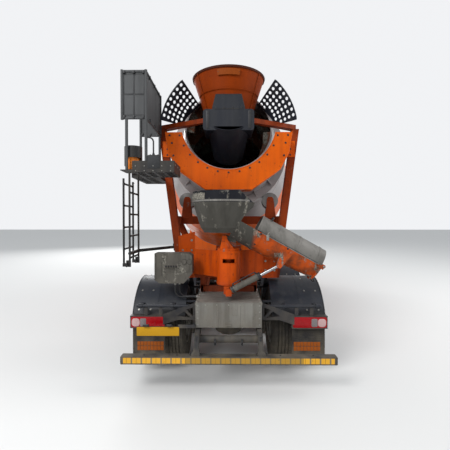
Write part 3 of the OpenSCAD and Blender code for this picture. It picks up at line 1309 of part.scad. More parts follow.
module door_hinge_pockets(r) for (s = [-1, 1], z = door_hinge_z)
    z_disc(s * hinge_at[0], hinge_at[1], [z - 48, z + 48], r);

module cab_hinges() color(orange) for (s = [-1, 1], z = door_hinge_z) {
    z_disc(s * hinge_at[0], hinge_at[1], [z - 48, z + 48], 8);
    for (e = [-48, 28]) z_disc(s * hinge_at[0], hinge_at[1], [z + e, z + e + 20], 19 + gap);
}

module cab_windows(s0, s1) difference() {
    cab_form(s0);
    cab_form(s1);
}

module cab_glass() color(glass) {
    intersection() {
        cab_windows(16, 16 + glass_t);
        along_y([cab_front - 500, cab_front + 50]) polygon(screen_outline(-gap));
    }
    intersection() {
        cab_windows(16, 16 + glass_t);
        slab([-700 + gap, 700 - gap], [cab_rear - 10, cab_rear + cab_t + 20], [sill_z + 100 + gap, cab_top - 350 - gap]);
    }
}

// A door's panel is the cab's own wall inside the door outline
module door(s) color(orange) difference() {
    union() {
        intersection() {
            difference() {
                cab_form(0);
                cab_form(cab_t);
            }
            along_x(s > 0 ? [cab_x - 60, cab_x + 10] : [-cab_x - 10, -cab_x + 60]) polygon(door_outline(-panel_gap));
        }
        // Handle bar
        along_x(s > 0 ? [cab_x - 1, cab_x + 18] : [-cab_x - 18, -cab_x + 1])
            polygon([[door_y[0] + 60, sill_z - 190], [door_y[0] + 240, sill_z - 190], [door_y[0] + 240, sill_z - 160], [door_y[0] + 60, sill_z - 160]]);
    }
    along_x(s > 0 ? [cab_x - 100, cab_x + 30] : [-cab_x - 30, -cab_x + 100]) polygon(door_window(0));
    door_hinge_pockets(22);
}

module door_barrels(s) color(orange) for (z = door_hinge_z) difference() {
    union() {
        z_disc(s * hinge_at[0], hinge_at[1], [z - 28 + gap, z + 28 - gap], 16);
        slab(s > 0 ? [cab_x - 16, cab_x + 4] : [-cab_x - 4, -cab_x + 16], [hinge_at[1] - 45, hinge_at[1]], [z - 28 + gap, z + 28 - gap]);
    }
    z_disc(s * hinge_at[0], hinge_at[1], [z - 60, z + 60], 8 + run);
}

module door_glass(s) color(glass) intersection() {
    cab_windows(20, 20 + glass_t);
    along_x(s > 0 ? [cab_x - 60, cab_x + 10] : [-cab_x - 10, -cab_x + 60]) polygon(door_window(-gap));
}

module cab_interior() color([0.18, 0.18, 0.19]) {
    f = floor_z + 40 + gap;
    for (x = [-620, 620]) {
        slab([x - 240, x + 240], [cab_rear + 350, cab_rear + 850], [f + 330, f + 440]);
        slab([x - 160, x + 160], [cab_rear + 450, cab_rear + 750], [f, f + 331]);
        along_x([x - 230, x + 230]) polygon([[cab_rear + 340, f + 380], [cab_rear + 440, f + 400],
            [cab_rear + 330, f + 1050], [cab_rear + 230, f + 1050]]);
    }
    along_x([-cab_x + cab_t + 110, cab_x - cab_t - 110])
        polygon([[cab_front - 460, f + 120], [cab_front - 520, f + 400], [cab_front - 430, f + 500],
            [cab_front - cab_t - 40, f + 460], [cab_front - cab_t - 40, f + 80]]);
    slab([-200, 200], [cab_front - 300, cab_front - 150], [f, f + 130]);
    rod([620, cab_front - 500, f + 350], [620, cab_front - 655, f + 536], 30);
    translate([620, cab_front - 650, f + 532]) rotate([35, 0, 0]) difference() {
        cylinder(h = 30, r = 225);
        translate([0, 0, -5]) difference() {
            cylinder(h = 50, r = 200);
            translate([-20, -210, 0]) cube([40, 420, 50]);
            cylinder(h = 50, r = 50);
        }
    }
}

// Mirrors on arms ahead of the doors
module cab_mirrors() color(black) both_sides() {
    y = cab_front - 255;
    for (z = [sill_z + 60, sill_z + 600])
        x_disc([cab_x + gap, 1370], y, z, 14);
    along_z([sill_z + 20, sill_z + 680])
        polygon(concat([[1300, y - 10], [1450, y - 10]], arc([1400, y + 20], 50, 0, 90, 5), arc([1350, y + 20], 50, 90, 180, 5)));
}

// Everything is drawn once, by name

frame_rails();
mixer_subframe();
drum_drive();
rear_pedestal();
chute_pedestal();
drum_guards();
charging_hopper();
feed_chute();
discharge_collector();
front_axles();
rear_axles();
powertrain();
side_tanks();
side_guards();
mudguards();
mud_flaps();
rear_lamps();
underrun_bar();
rear_cover();
control_cabinet();
access_platform();
guard_panels();
warning_beacon();
water_tank();
front_bumper();
head_lamps();
union() {
    cab_shell();
    cab_hinges();
}
cab_glass();
cab_interior();
cab_mirrors();
union() {  // door_left
    door(-1);
    door_barrels(-1);
}
union() {  // door_right
    door(1);
    door_barrels(1);
}
door_glass(-1);  // door_glass_left
door_glass(1);  // door_glass_right
mirror([1, 0, 0]) knuckle(axle_1);  // knuckle_1l
knuckle(axle_1);  // knuckle_1r
mirror([1, 0, 0]) knuckle(axle_2);  // knuckle_2l
knuckle(axle_2);  // knuckle_2r
mirror([1, 0, 0]) single_wheel(axle_1);  // wheel_1l
single_wheel(axle_1);  // wheel_1r
mirror([1, 0, 0]) single_wheel(axle_2);  // wheel_2l
single_wheel(axle_2);  // wheel_2r
mirror([1, 0, 0]) twin_wheel(axle_3);  // wheel_3l
twin_wheel(axle_3);  // wheel_3r
mirror([1, 0, 0]) twin_wheel(axle_4);  // wheel_4l
twin_wheel(axle_4);  // wheel_4r
mixer_drum();
drum_blades();
roller(-1);  // roller_left
roller(1);  // roller_right
chute_swivel();
chute_trough();
chute_extension();
ram_barrel();
ram_rod();
lower_ladder();
hoses();
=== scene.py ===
# %% [markdown]
# # A concrete mixer truck seen from behind
# The solids of this truck come from CAD and are loaded as a fixed frame. This lesson gives them their
# finishes and adds what CAD left out: tyre tread, bolts, lamps, seals, hoses, grime and cement.
# Everything is in metres. +Y points to the cab, +X to the truck's right, +Z up.

# %% Load the frame
import math
from itertools import product

import bmesh
import bpy
from mathutils import Matrix, Vector


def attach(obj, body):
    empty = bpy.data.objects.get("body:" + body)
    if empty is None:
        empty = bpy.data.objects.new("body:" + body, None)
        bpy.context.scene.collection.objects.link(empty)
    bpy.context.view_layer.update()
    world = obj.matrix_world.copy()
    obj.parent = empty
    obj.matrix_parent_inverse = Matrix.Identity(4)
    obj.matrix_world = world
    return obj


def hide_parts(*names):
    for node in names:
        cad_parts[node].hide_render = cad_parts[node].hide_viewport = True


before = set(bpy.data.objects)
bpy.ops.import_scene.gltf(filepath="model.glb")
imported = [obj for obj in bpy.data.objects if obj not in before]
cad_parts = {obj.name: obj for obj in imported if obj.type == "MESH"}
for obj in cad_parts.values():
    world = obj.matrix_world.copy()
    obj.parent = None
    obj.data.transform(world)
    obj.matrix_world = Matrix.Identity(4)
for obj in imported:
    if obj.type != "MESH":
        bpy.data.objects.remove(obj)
scene = bpy.context.scene
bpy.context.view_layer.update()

# %% [markdown]
# ## Camera
# The photo was taken by a wide phone lens, level with a standing person's raised arm and close behind the
# bar. The lens is written as its focal length in pixels of the photo, turned into millimetres of film.

# %% Camera
FOCAL_PX, PHOTO_PX, FILM = 338.0, 450.0, 36.0
EYE, PITCH, YAW = (0.0, -8.143, 2.03), -0.93, 0.61
lens = bpy.data.cameras.new("photo_lens")
lens.sensor_width = FILM
lens.lens = FILM * FOCAL_PX / PHOTO_PX
lens.clip_end = 200.0
camera = bpy.data.objects.new("photo_camera", lens)
camera.location = EYE
camera.rotation_euler = [math.radians(a) for a in (90.0 + PITCH, 0.0, YAW)]
scene.collection.objects.link(camera)
scene.camera = camera
scene.view_settings.view_transform = "Standard"
print("lens:", round(lens.lens, 2), "mm")

# %% [markdown]
# ## Shader helpers
# Every finish is a graph of nodes. A small wrapper adds a node and wires it in one line, so that the code
# reads like the sum that the graph works out.

# %% Graph and colour helpers


def srgb(red, green, blue):
    """Turns the 0 to 255 values of a paint chart into the linear values that a shader wants."""
    def linear(v):
        v = v / 255.0
        return v / 12.92 if v <= 0.04045 else ((v + 0.055) / 1.055) ** 2.4
    return (linear(red), linear(green), linear(blue), 1.0)


class Graph:
    """A small wrapper that adds nodes and wires them by name."""

    def __init__(self, tree):
        self.tree = tree

    def add(self, kind, inputs=None, **settings):
        made = self.tree.nodes.new(kind)
        for key, value in settings.items():
            setattr(made, key, value)
        for key, value in (inputs or {}).items():
            self.put(made.inputs[key], value)
        return made

    def put(self, target, value):
        if isinstance(value, bpy.types.NodeSocket):
            self.tree.links.new(value, target)
        else:
            target.default_value = value

    def place(self):
        """Object coordinates, which are the truck's own metres."""
        return self.add("ShaderNodeTexCoord").outputs["Object"]

    def axes(self):
        """The same place as three numbers."""
        return self.add("ShaderNodeSeparateXYZ", {0: self.place()}).outputs

    def arm(self, origin, direction):
        """The way from an origin to the place, and how much of it lies along a direction."""
        way = self.add("ShaderNodeVectorMath", {0: self.place(), 1: tuple(origin)}, operation="SUBTRACT").outputs[0]
        dot = self.add("ShaderNodeVectorMath", {0: way, 1: tuple(direction)}, operation="DOT_PRODUCT")
        return way, dot.outputs["Value"]

    def noise(self, scale, detail=3.0, stretch=(1.0, 1.0, 1.0)):
        mapping = self.add("ShaderNodeMapping", {"Vector": self.place(), "Scale": stretch})
        return self.add("ShaderNodeTexNoise", {"Vector": mapping.outputs[0], "Scale": scale,
                                               "Detail": detail, "Roughness": 0.6}).outputs["Fac"]

    def ramp(self, value, low, high, to_low=0.0, to_high=1.0):
        return self.add("ShaderNodeMapRange", {"Value": value, "From Min": low, "From Max": high,
                                               "To Min": to_low, "To Max": to_high}).outputs[0]

    def math(self, kind, a, b=0.0):
        return self.add("ShaderNodeMath", {0: a, 1: b}, operation=kind).outputs[0]

    def plus(self, a, b):
        return self.math("ADD", a, b)

    def times(self, a, b):
        return self.math("MULTIPLY", a, b)

    def mix(self, factor, a, b):
        return self.add("ShaderNodeMix", {0: factor, 6: a, 7: b}, data_type="RGBA").outputs[2]


def new_material(name):
    """An empty material, its graph and the sockets of its shader."""
    made = bpy.data.materials.new(name)
    made.use_nodes = True
    return made, Graph(made.node_tree), made.node_tree.nodes["Principled BSDF"].inputs


print("shader helpers ready")

# %% [markdown]
# ## Floor, sky and lamps
# A pale floor with soft lamps shows the paint as it is written. The world is white only where the camera,
# a reflection or a pane looks straight at it, so it never adds light to the truck.

# %% Floor
floor_paint, graph, shader = new_material("floor_paint")
graph.put(shader["Base Color"], (0.72, 0.72, 0.71, 1.0))
graph.put(shader["Roughness"], 0.9)
bm = bmesh.new()
bmesh.ops.create_grid(bm, x_segments=1, y_segments=1, size=60.0)
floor_mesh = bpy.data.meshes.new("floor")
bm.to_mesh(floor_mesh)
bm.free()
floor_mesh.materials.append(floor_paint)
floor = bpy.data.objects.new("floor", floor_mesh)
scene.collection.objects.link(floor)
print("floor laid")

# %% Sky
world = bpy.data.worlds.new("studio")
scene.world = world
world.use_nodes = True
sky = Graph(world.node_tree)
sky.tree.nodes.clear()
ambient = sky.add("ShaderNodeBackground", {"Color": (0.92, 0.96, 1.0, 1.0), "Strength": 0.62}).outputs[0]
backdrop = sky.add("ShaderNodeBackground", {"Color": (0.93, 0.94, 0.96, 1.0), "Strength": 0.95}).outputs[0]
rays = sky.add("ShaderNodeLightPath").outputs
seen = sky.math("MAXIMUM", rays["Is Camera Ray"], rays["Is Glossy Ray"])
seen = sky.math("MAXIMUM", seen, rays["Is Transmission Ray"])
pick = sky.add("ShaderNodeMixShader", {0: seen, 1: ambient, 2: backdrop}).outputs[0]
sky.add("ShaderNodeOutputWorld", {"Surface": pick})
print("sky nodes:", len(sky.tree.nodes))

# %% Lamps


def lamp(name, place, target, size, watts):
    """A square soft box that looks at a point."""
    data = bpy.data.lights.new(name, "AREA")
    data.shape = "SQUARE"
    data.size = size
    data.energy = watts
    light = bpy.data.objects.new(name, data)
    light.location = place
    light.rotation_euler = (Vector(target) - Vector(place)).to_track_quat("-Z", "Y").to_euler()
    scene.collection.objects.link(light)
    print("lamp:", name, watts, "W")


lamp("key", (-7.0, -13.0, 10.0), (0.0, -2.5, 1.8), 6.0, 1500.0)
lamp("side", (12.0, -4.0, 9.0), (0.0, -0.5, 1.8), 7.0, 900.0)
lamp("front", (-6.0, 14.0, 9.0), (0.0, 2.0, 1.8), 7.0, 1200.0)

# %% [markdown]
# ## Finishes
# A working mixer is never clean: the paint fades, rain draws streaks, dust settles low down and cement
# splashes harden in patches. Each of these is a shader group with named sockets, so one group serves many
# paints.

# %% Group helper
COLOR, NUMBER = "NodeSocketColor", "NodeSocketFloat"


def new_group(name, inputs, outputs):
    """An empty shader group with its sockets: its graph, what it is given and what it gives back."""
    tree = bpy.data.node_groups.new(name, "ShaderNodeTree")
    for label, kind, value in inputs:
        tree.interface.new_socket(name=label, in_out="INPUT", socket_type=kind).default_value = value
    for label, kind in outputs:
        tree.interface.new_socket(name=label, in_out="OUTPUT", socket_type=kind)
    graph = Graph(tree)
    print("group:", name, "with", len(inputs), "inputs")
    return graph, graph.add("NodeGroupInput").outputs, graph.add("NodeGroupOutput").inputs


# %% Weather: fading, rain streaks, dust from the road and dark scuffs
g, given, result = new_group("weather", [
    ("Paint", COLOR, (0.5, 0.5, 0.5, 1)), ("Faded", COLOR, (0.5, 0.5, 0.5, 1)),
    ("Grime", COLOR, (0.1, 0.1, 0.1, 1)), ("Grime Amount", NUMBER, 0.4),
    ("Dust", COLOR, (0.3, 0.27, 0.22, 1)), ("Dust Top", NUMBER, 1.3), ("Scuffs", NUMBER, 0.3),
    ("Roughness", NUMBER, 0.45)],
    [("Color", COLOR), ("Roughness", NUMBER), ("Height", NUMBER)])
fine = g.noise(70.0, 2.0)
faded = g.mix(g.ramp(g.noise(1.7, 4.0), 0.35, 0.7), given["Paint"], given["Faded"])
streak_mask = g.times(g.ramp(g.noise(9.0, 4.0, (1.0, 1.0, 0.09)), 0.46, 0.72), given["Grime Amount"])
grimy = g.mix(streak_mask, faded, given["Grime"])
near_road = g.ramp(g.axes()[2], given["Dust Top"], 0.1)
dust_mask = g.times(near_road, g.ramp(g.noise(5.0, 6.0), 0.3, 0.65))
dusty = g.mix(g.times(dust_mask, 0.75), grimy, given["Dust"])
scuff_mask = g.times(g.ramp(g.noise(26.0, 6.0), 0.62, 0.68), given["Scuffs"])
rough_extra = g.plus(g.times(g.plus(dust_mask, streak_mask), 0.35), g.ramp(fine, 0.0, 1.0, -0.05, 0.08))
g.put(result["Color"], g.mix(scuff_mask, dusty, given["Grime"]))
g.put(result["Roughness"], g.plus(given["Roughness"], rough_extra))
g.put(result["Height"], g.plus(g.times(fine, 0.25), g.times(scuff_mask, -0.5)))
print("weather nodes:", len(g.tree.nodes))

# %% Cement: pale crust in patches with a lumpy height
g, given, result = new_group("cement", [
    ("Under", COLOR, (0.3, 0.3, 0.3, 1)), ("Under Roughness", NUMBER, 0.5), ("Amount", NUMBER, 0.5),
    ("Pale", COLOR, srgb(150, 145, 134)), ("Dark", COLOR, srgb(70, 68, 62))],
    [("Color", COLOR), ("Roughness", NUMBER), ("Height", NUMBER)])
grain = g.noise(48.0, 8.0)
lumps = g.plus(g.times(g.noise(4.2, 8.0), 0.6), g.times(g.noise(11.0, 5.0, (1.0, 1.0, 0.22)), 0.4))
edge = g.ramp(g.math("SUBTRACT", 1.0, given["Amount"]), 0.0, 1.0, 0.30, 0.66)
crust = g.ramp(lumps, edge, g.plus(edge, 0.05))
g.put(result["Color"], g.mix(crust, given["Under"], g.mix(g.ramp(grain, 0.38, 0.66), given["Dark"], given["Pale"])))
g.put(result["Roughness"], g.ramp(crust, 0.0, 1.0, given["Under Roughness"], 0.92))
g.put(result["Height"], g.times(crust, g.plus(0.6, g.times(grain, 1.2))))
print("cement nodes:", len(g.tree.nodes))

# %% Two makers of finishes
LOOKS = {}
ROAD_DUST = srgb(118, 108, 92)


def finish(name, paint, faded, grime=(26, 24, 22), amount=0.4, dust_top=1.3, scuffs=0.3, rough=0.45,
           metallic=0.0, crust=0.0, bump=0.0012, coat=0.0, shine=0.28, tint=None):
    """A painted or bare surface: weather first, then cement where crust is above nought."""
    made, graph, shader = new_material(name)
    graph.put(shader["Metallic"], metallic)
    graph.put(shader["Coat Weight"], coat)
    graph.put(shader["Specular IOR Level"], 0.5 if metallic > 0.1 else shine)
    color, roughness, height = graph.add("ShaderNodeGroup", {
        "Paint": srgb(*paint), "Faded": srgb(*faded), "Grime": srgb(*grime), "Grime Amount": amount,
        "Dust Top": dust_top, "Scuffs": scuffs, "Roughness": rough, "Dust": ROAD_DUST,
    }, node_tree=bpy.data.node_groups["weather"]).outputs
    if tint:
        color = tint(graph, color)
    if crust > 0.0:
        color, roughness, lumps = graph.add("ShaderNodeGroup", {
            "Under": color, "Under Roughness": roughness, "Amount": crust,
        }, node_tree=bpy.data.node_groups["cement"]).outputs
        height = graph.plus(height, lumps)
    graph.put(shader["Base Color"], color)
    graph.put(shader["Roughness"], roughness)
    bumped = graph.add("ShaderNodeBump", {"Height": height, "Distance": bump, "Strength": 0.7})
    graph.put(shader["Normal"], bumped.outputs[0])
    LOOKS[name] = made


def plain(name, color, rough, grain=0.0008, scale=90.0, metallic=0.0, shine=0.5):
    """A moulded or clear surface with a fine grain in its roughness and bump."""
    made, graph, shader = new_material(name)
    mottled = graph.noise(scale, 3.0)
    dark = tuple(v * 0.82 for v in srgb(*color)[:3]) + (1.0,)
    graph.put(shader["Base Color"], graph.mix(mottled, dark, srgb(*color)))
    graph.put(shader["Roughness"], graph.ramp(mottled, 0.0, 1.0, rough * 0.8, rough * 1.3))
    graph.put(shader["Specular IOR Level"], shine)
    graph.put(shader["Metallic"], metallic)
    graph.put(shader["Normal"], graph.add("ShaderNodeBump", {"Height": mottled, "Distance": grain}).outputs[0])
    LOOKS[name] = made


print("makers ready")

# %% Paints
finish("orange_paint", (222, 96, 4), (206, 86, 4), amount=0.2, scuffs=0.2, rough=0.42, coat=0.15)
finish("collector_paint", (212, 92, 2), (190, 76, 2), amount=0.25, scuffs=0.35, crust=0.06, shine=0.12)
finish("pedestal_paint", (192, 74, 2), (152, 50, 4), amount=0.55, scuffs=0.6, rough=0.4, crust=0.10, shine=0.12)
# The posts' base orange is darker than the cab's: that darkness is painted shade, while their grime and cement are
# real.
finish("post_orange_painted_shade", (140, 54, 12), (112, 40, 12), amount=0.5, scuffs=0.5, rough=0.5, crust=0.12, shine=0.12)
finish("black_paint", (27, 30, 39), (21, 24, 31), grime=(58, 57, 55), amount=0.25, rough=0.40, dust_top=1.4)
finish("rail_paint", (34, 33, 33), (24, 24, 26), grime=(78, 72, 64), amount=0.5, rough=0.55, crust=0.14)
finish("chassis_paint", (52, 52, 54), (42, 42, 44), grime=(90, 84, 74), amount=0.6, rough=0.6, dust_top=1.8)
finish("rim_paint", (150, 150, 148), (126, 124, 120), grime=(74, 66, 56), amount=0.6, rough=0.5, metallic=0.4,
       dust_top=1.2)
print(len(LOOKS), "looks")

# %% Metals, plastics and rubber
finish("bare_steel", (128, 128, 126), (108, 108, 106), rough=0.42, metallic=0.75)
finish("zinc_plate", (126, 124, 118), (104, 102, 98), grime=(66, 62, 56), amount=0.55, rough=0.6,
       metallic=0.35, crust=0.16, dust_top=1.4)
finish("dirty_alloy", (92, 88, 80), (70, 66, 60), grime=(40, 36, 32), amount=0.7, rough=0.7, metallic=0.2,
       crust=0.30, bump=0.004)
finish("lid_steel", (120, 117, 112), (98, 95, 90), grime=(54, 52, 48), amount=0.5, rough=0.55, metallic=0.3,
       crust=0.20, bump=0.003)
finish("blade_steel", (120, 70, 44), (96, 60, 44), amount=0.6, rough=0.6, crust=0.5, bump=0.004)
finish("chrome_rod", (176, 176, 178), (160, 160, 162), amount=0.3, rough=0.22, metallic=1.0, scuffs=0.2)
finish("cement_crust", (136, 131, 121), (116, 111, 102), grime=(84, 80, 72), rough=0.9, crust=0.6, bump=0.006)
finish("mud_plastic", (32, 36, 45), (26, 29, 35), grime=(66, 66, 66), amount=0.35, dust_top=1.0, scuffs=0.15)
finish("panel_plastic", (74, 75, 76), (66, 67, 68), grime=(46, 46, 46), amount=0.25, rough=0.6, scuffs=0.1)
finish("cab_plastic", (38, 39, 41), (46, 47, 49), amount=0.2, rough=0.6, scuffs=0.1)
finish("seat_cloth", (58, 60, 66), (70, 72, 78), amount=0.1, rough=0.9, scuffs=0.05, bump=0.002)
finish("tyre_rubber", (34, 34, 35), (42, 41, 40), grime=(84, 78, 68), amount=0.45, rough=0.82, dust_top=0.8,
       bump=0.002)
finish("soft_rubber", (26, 27, 30), (36, 37, 40), grime=(80, 76, 70), rough=0.7, dust_top=0.9)
print(len(LOOKS), "looks")

# %% Lenses, glass, tape and small metal
plain("red_lens", (152, 10, 18), 0.2, shine=0.25)
plain("clear_lens", (214, 206, 204), 0.18, metallic=0.2)
# The reversing window's pale pink is a red lens with a painted white reflection.
plain("reversing_lens_painted_reflection", (196, 160, 158), 0.2, metallic=0.1)
plain("grey_lens", (120, 112, 112), 0.25)
plain("amber_lens", (232, 132, 34), 0.18)
plain("dark_glass", (46, 56, 62), 0.06, grain=0.0001, scale=6.0)
plain("mirror_glass", (190, 196, 200), 0.05, grain=0.0001, scale=6.0, metallic=1.0)
plain("plate_yellow", (186, 138, 16), 0.4, shine=0.2)
plain("flap_tape", (150, 78, 26), 0.46, scale=40.0, shine=0.12)
plain("bolt_zinc", (142, 140, 134), 0.4, metallic=0.7)
plain("bolt_black", (30, 30, 33), 0.5, metallic=0.2)
plain("hose_rubber", (26, 26, 28), 0.55)
plain("label_bare", (132, 62, 18), 0.6, shine=0.08)
print(len(LOOKS), "looks")

# %% [markdown]
# ## Painted borders
# Some borders follow a shape and not a splash. The drum's plate is pale grey near the mouth and at the
# waist and orange on the belly, along the drum's own axis. The bar wears reflective tape, the bowl a black
# band, the trough bare orange below. Each is a mask worked out from Object coordinates.

# %% Drum bands
MOUTH = Vector((0.0, -3.35, 3.30))
TILT = math.radians(14.5)
DRUM_AXIS = Vector((0.0, math.cos(TILT), -math.sin(TILT)))


def drum_bands(graph, color):
    """Pale grey on the rear cone, orange belly with a pale band, in metres from the mouth."""
    along = graph.arm(MOUTH, DRUM_AXIS)[1]
    belt = graph.times(graph.ramp(along, 2.95, 2.97), graph.ramp(along, 3.52, 3.50))
    grey = graph.math("MAXIMUM", graph.ramp(along, 1.52, 1.50), belt)
    pale = graph.mix(graph.ramp(graph.noise(2.4, 5.0), 0.35, 0.7), srgb(150, 143, 142), srgb(128, 121, 120))
    return graph.mix(grey, color, pale)


finish("drum_paint", (222, 96, 4), (206, 84, 4), amount=0.18, scuffs=0.15, rough=0.35, crust=0.05, coat=0.2,
       tint=drum_bands)
print("drum axis:", DRUM_AXIS)

# %% Tape on the bar
TAPE_STEP, BAR_FACE = 0.114, -4.2995


def band(graph, value, low, high, soft=0.002):
    """One between low and high, nought outside."""
    return graph.times(graph.ramp(value, low - soft, low), graph.ramp(value, high + soft, high))


def bar_tape(graph, color):
    """Yellow reflective tape in short lengths with dull grey joints, on the bar's rear face only."""
    x, y, z = graph.axes()
    step = graph.math("MODULO", graph.plus(x, 5.0), TAPE_STEP)
    tape = graph.mix(band(graph, step, 0.0, 0.016), srgb(214, 158, 44), srgb(112, 104, 88))
    tape = graph.mix(band(graph, step, 0.062, 0.064), tape, srgb(120, 88, 30))
    worn = graph.times(graph.ramp(graph.noise(34.0, 8.0), 0.62, 0.70), 0.7)
    tape = graph.mix(worn, tape, srgb(92, 80, 60))
    tape = graph.mix(graph.times(band(graph, x, -0.50, 0.86), 0.55), tape, srgb(104, 88, 44))
    on_face = graph.times(graph.ramp(y, BAR_FACE + 0.001, BAR_FACE), band(graph, z, 0.379, 0.441))
    return graph.mix(graph.times(on_face, band(graph, x, -1.212, 1.212)), color, tape)


finish("bar_finish", (42, 44, 48), (34, 35, 38), grime=(96, 92, 84), amount=0.5, rough=0.5, dust_top=1.2,
       scuffs=0.4, tint=bar_tape)
print("tape step:", TAPE_STEP)

# %% Trough, beacon and hopper rim
CHUTE = Vector((-0.05, -3.83, 1.80))
SLOPE = math.radians(29)
CHUTE_DOWN = Vector((math.cos(SLOPE), 0.0, -math.sin(SLOPE)))
CHUTE_UP = Vector((math.sin(SLOPE), 0.0, math.cos(SLOPE)))
BEACON = Vector((-1.125, -4.147, 0.0))


def trough_paint(graph, color):
    """Orange outside the trough, black above the bowl's lip, cement colour inside."""
    way, along = graph.arm(CHUTE + CHUTE_UP * 0.28, CHUTE_DOWN)
    length = graph.add("ShaderNodeVectorMath", {0: way}, operation="LENGTH").outputs["Value"]
    off = graph.math("SQRT", graph.math("SUBTRACT", graph.times(length, length), graph.times(along, along)))
    wall = graph.ramp(along, 0.5, 1.2, 0.2472, 0.1922)
    outside = graph.ramp(graph.math("SUBTRACT", off, wall), 0.0, 0.001)
    x, y, z = graph.axes()
    below = graph.times(outside, graph.ramp(graph.plus(x, graph.times(z, -0.2)), -0.08, -0.02))
    rust = graph.mix(graph.ramp(graph.noise(6.0, 6.0), 0.42, 0.62), srgb(176, 72, 20), srgb(108, 56, 32))
    lip = graph.times(graph.ramp(z, 2.238, 2.241), graph.ramp(x, 0.34, 0.33))
    return graph.mix(lip, graph.mix(below, color, rust), srgb(24, 25, 30))


def beacon_paint(graph, color):
    """The lamp's body is amber inside the black hood."""
    x, y, z = graph.axes()
    dx, dy = graph.plus(x, -BEACON.x), graph.plus(y, -BEACON.y)
    off = graph.math("SQRT", graph.plus(graph.times(dx, dx), graph.times(dy, dy)))
    inside = graph.times(graph.ramp(off, 0.080, 0.078), graph.ramp(z, 2.792, 2.790))
    return graph.mix(inside, color, srgb(226, 128, 30))


def rim_band(graph, color):
    """A dark band round the top of the hopper's rim, above 3.982 m."""
    return graph.mix(graph.ramp(graph.axes()[2], 3.982, 3.985), color, srgb(64, 34, 26))


finish("trough_finish", (76, 74, 69), (62, 60, 55), grime=(46, 44, 40), amount=0.45, rough=0.6, metallic=0.1,
       crust=0.34, bump=0.004, shine=0.15, tint=trough_paint)
finish("beacon_finish", (34, 33, 33), (26, 26, 28), grime=(70, 66, 60), amount=0.3, rough=0.5, tint=beacon_paint)
# The hopper's base orange is darker than the cab's: this darker orange is painted shade, not another paint.
finish("hopper_orange_painted_shade", (134, 50, 2), (112, 40, 2), amount=0.16, scuffs=0.2, rough=0.6, shine=0.06, tint=rim_band)
print(len(LOOKS), "looks")

# %% Dress the CAD nodes
DRESS = {
    "orange_paint": "cab_shell door_left door_right front_bumper",
    "post_orange_painted_shade": "rear_pedestal mixer_subframe",
    "pedestal_paint": "chute_pedestal chute_swivel",
    "collector_paint": "discharge_collector",
    "hopper_orange_painted_shade": "charging_hopper",
    "black_paint": "feed_chute drum_guards rear_lamps",
    "mud_plastic": "mudguards",
    "bar_finish": "underrun_bar",
    "rail_paint": "access_platform lower_ladder",
    "beacon_finish": "warning_beacon",
    "hose_rubber": "hoses",
    "panel_plastic": "guard_panels",
    "chassis_paint": "frame_rails front_axles rear_axles powertrain drum_drive "
                     "knuckle_1l knuckle_1r knuckle_2l knuckle_2r",
    "bare_steel": "side_tanks side_guards water_tank roller_left roller_right",
    "zinc_plate": "rear_cover",
    "dirty_alloy": "control_cabinet ram_barrel",
    "trough_finish": "chute_trough",
    "lid_steel": "chute_extension",
    "blade_steel": "drum_blades",
    "drum_paint": "mixer_drum",
    "soft_rubber": "mud_flaps",
    "cab_plastic": "cab_mirrors",
    "seat_cloth": "cab_interior",
    "chrome_rod": "ram_rod",
    "dark_glass": "cab_glass door_glass_left door_glass_right head_lamps",
}
for look, names in DRESS.items():
    for name in names.split():
        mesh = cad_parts[name].data
        mesh.materials.clear()
        mesh.materials.append(LOOKS[look])
print("dressed", sum(len(names.split()) for names in DRESS.values()), "nodes")

# %% [markdown]
# ## A small kit for solid pieces
# Every added piece is drawn in the truck's own metres by the same few moves: a bevelled block, a bolt, a
# profile spun round an axis, a row of rings swept along a path, and an outline pushed out into a plate.
# Drawing in place means that each object stays at the origin, unturned, and simply rides on its body.

# %% Rows, limits and directions
X, Y, Z = Vector((1, 0, 0)), Vector((0, 1, 0)), Vector((0, 0, 1))
SIDES = ((-1, "left"), (1, "right"))


def row(values):
    """A number on its own makes a row of one."""
    return values if isinstance(values, (list, tuple)) else (values,)


def lane(a, b, count):
    """Evenly spaced numbers from a to b, both included."""
    return [a + (b - a) * i / (count - 1) for i in range(count)]


def about(values, half):
    """Limits half a width to each side of every number."""
    return [(v - half, v + half) for v in row(values)]


def both(*values):
    """The same distances to the truck's left and right."""
    return [v * side for v in values for side in (-1, 1)]


def span(side, a, b):
    """The limits a and b on one side of the truck, low before high."""
    return tuple(sorted((a * side, b * side)))


def pairs(a, b):
    """The limits a and b on both sides of the truck."""
    return [span(-1, a, b), span(1, a, b)]


def turned(angle, zero=X, other=Y):
    """The direction at an angle in degrees, turning from zero towards other."""
    a = math.radians(angle)
    return zero * math.cos(a) + other * math.sin(a)


def ring_of(count, first=0.0):
    """Evenly spaced angles round a full turn."""
    return [first + 360 * i / count for i in range(count)]


def round_box(x0, x1, z0, z1, r, steps=5):
    """The (x, z) outline of a rectangle with round corners."""
    made = []
    for cx, cz, a in ((x1 - r, z1 - r, 0), (x0 + r, z1 - r, 90), (x0 + r, z0 + r, 180), (x1 - r, z0 + r, 270)):
        for k in range(steps + 1):
            corner = math.radians(a + 90 * k / steps)
            made.append((cx + r * math.cos(corner), cz + r * math.sin(corner)))
    return made


print("sides:", [word for side, word in SIDES])

# %% The Shape helper


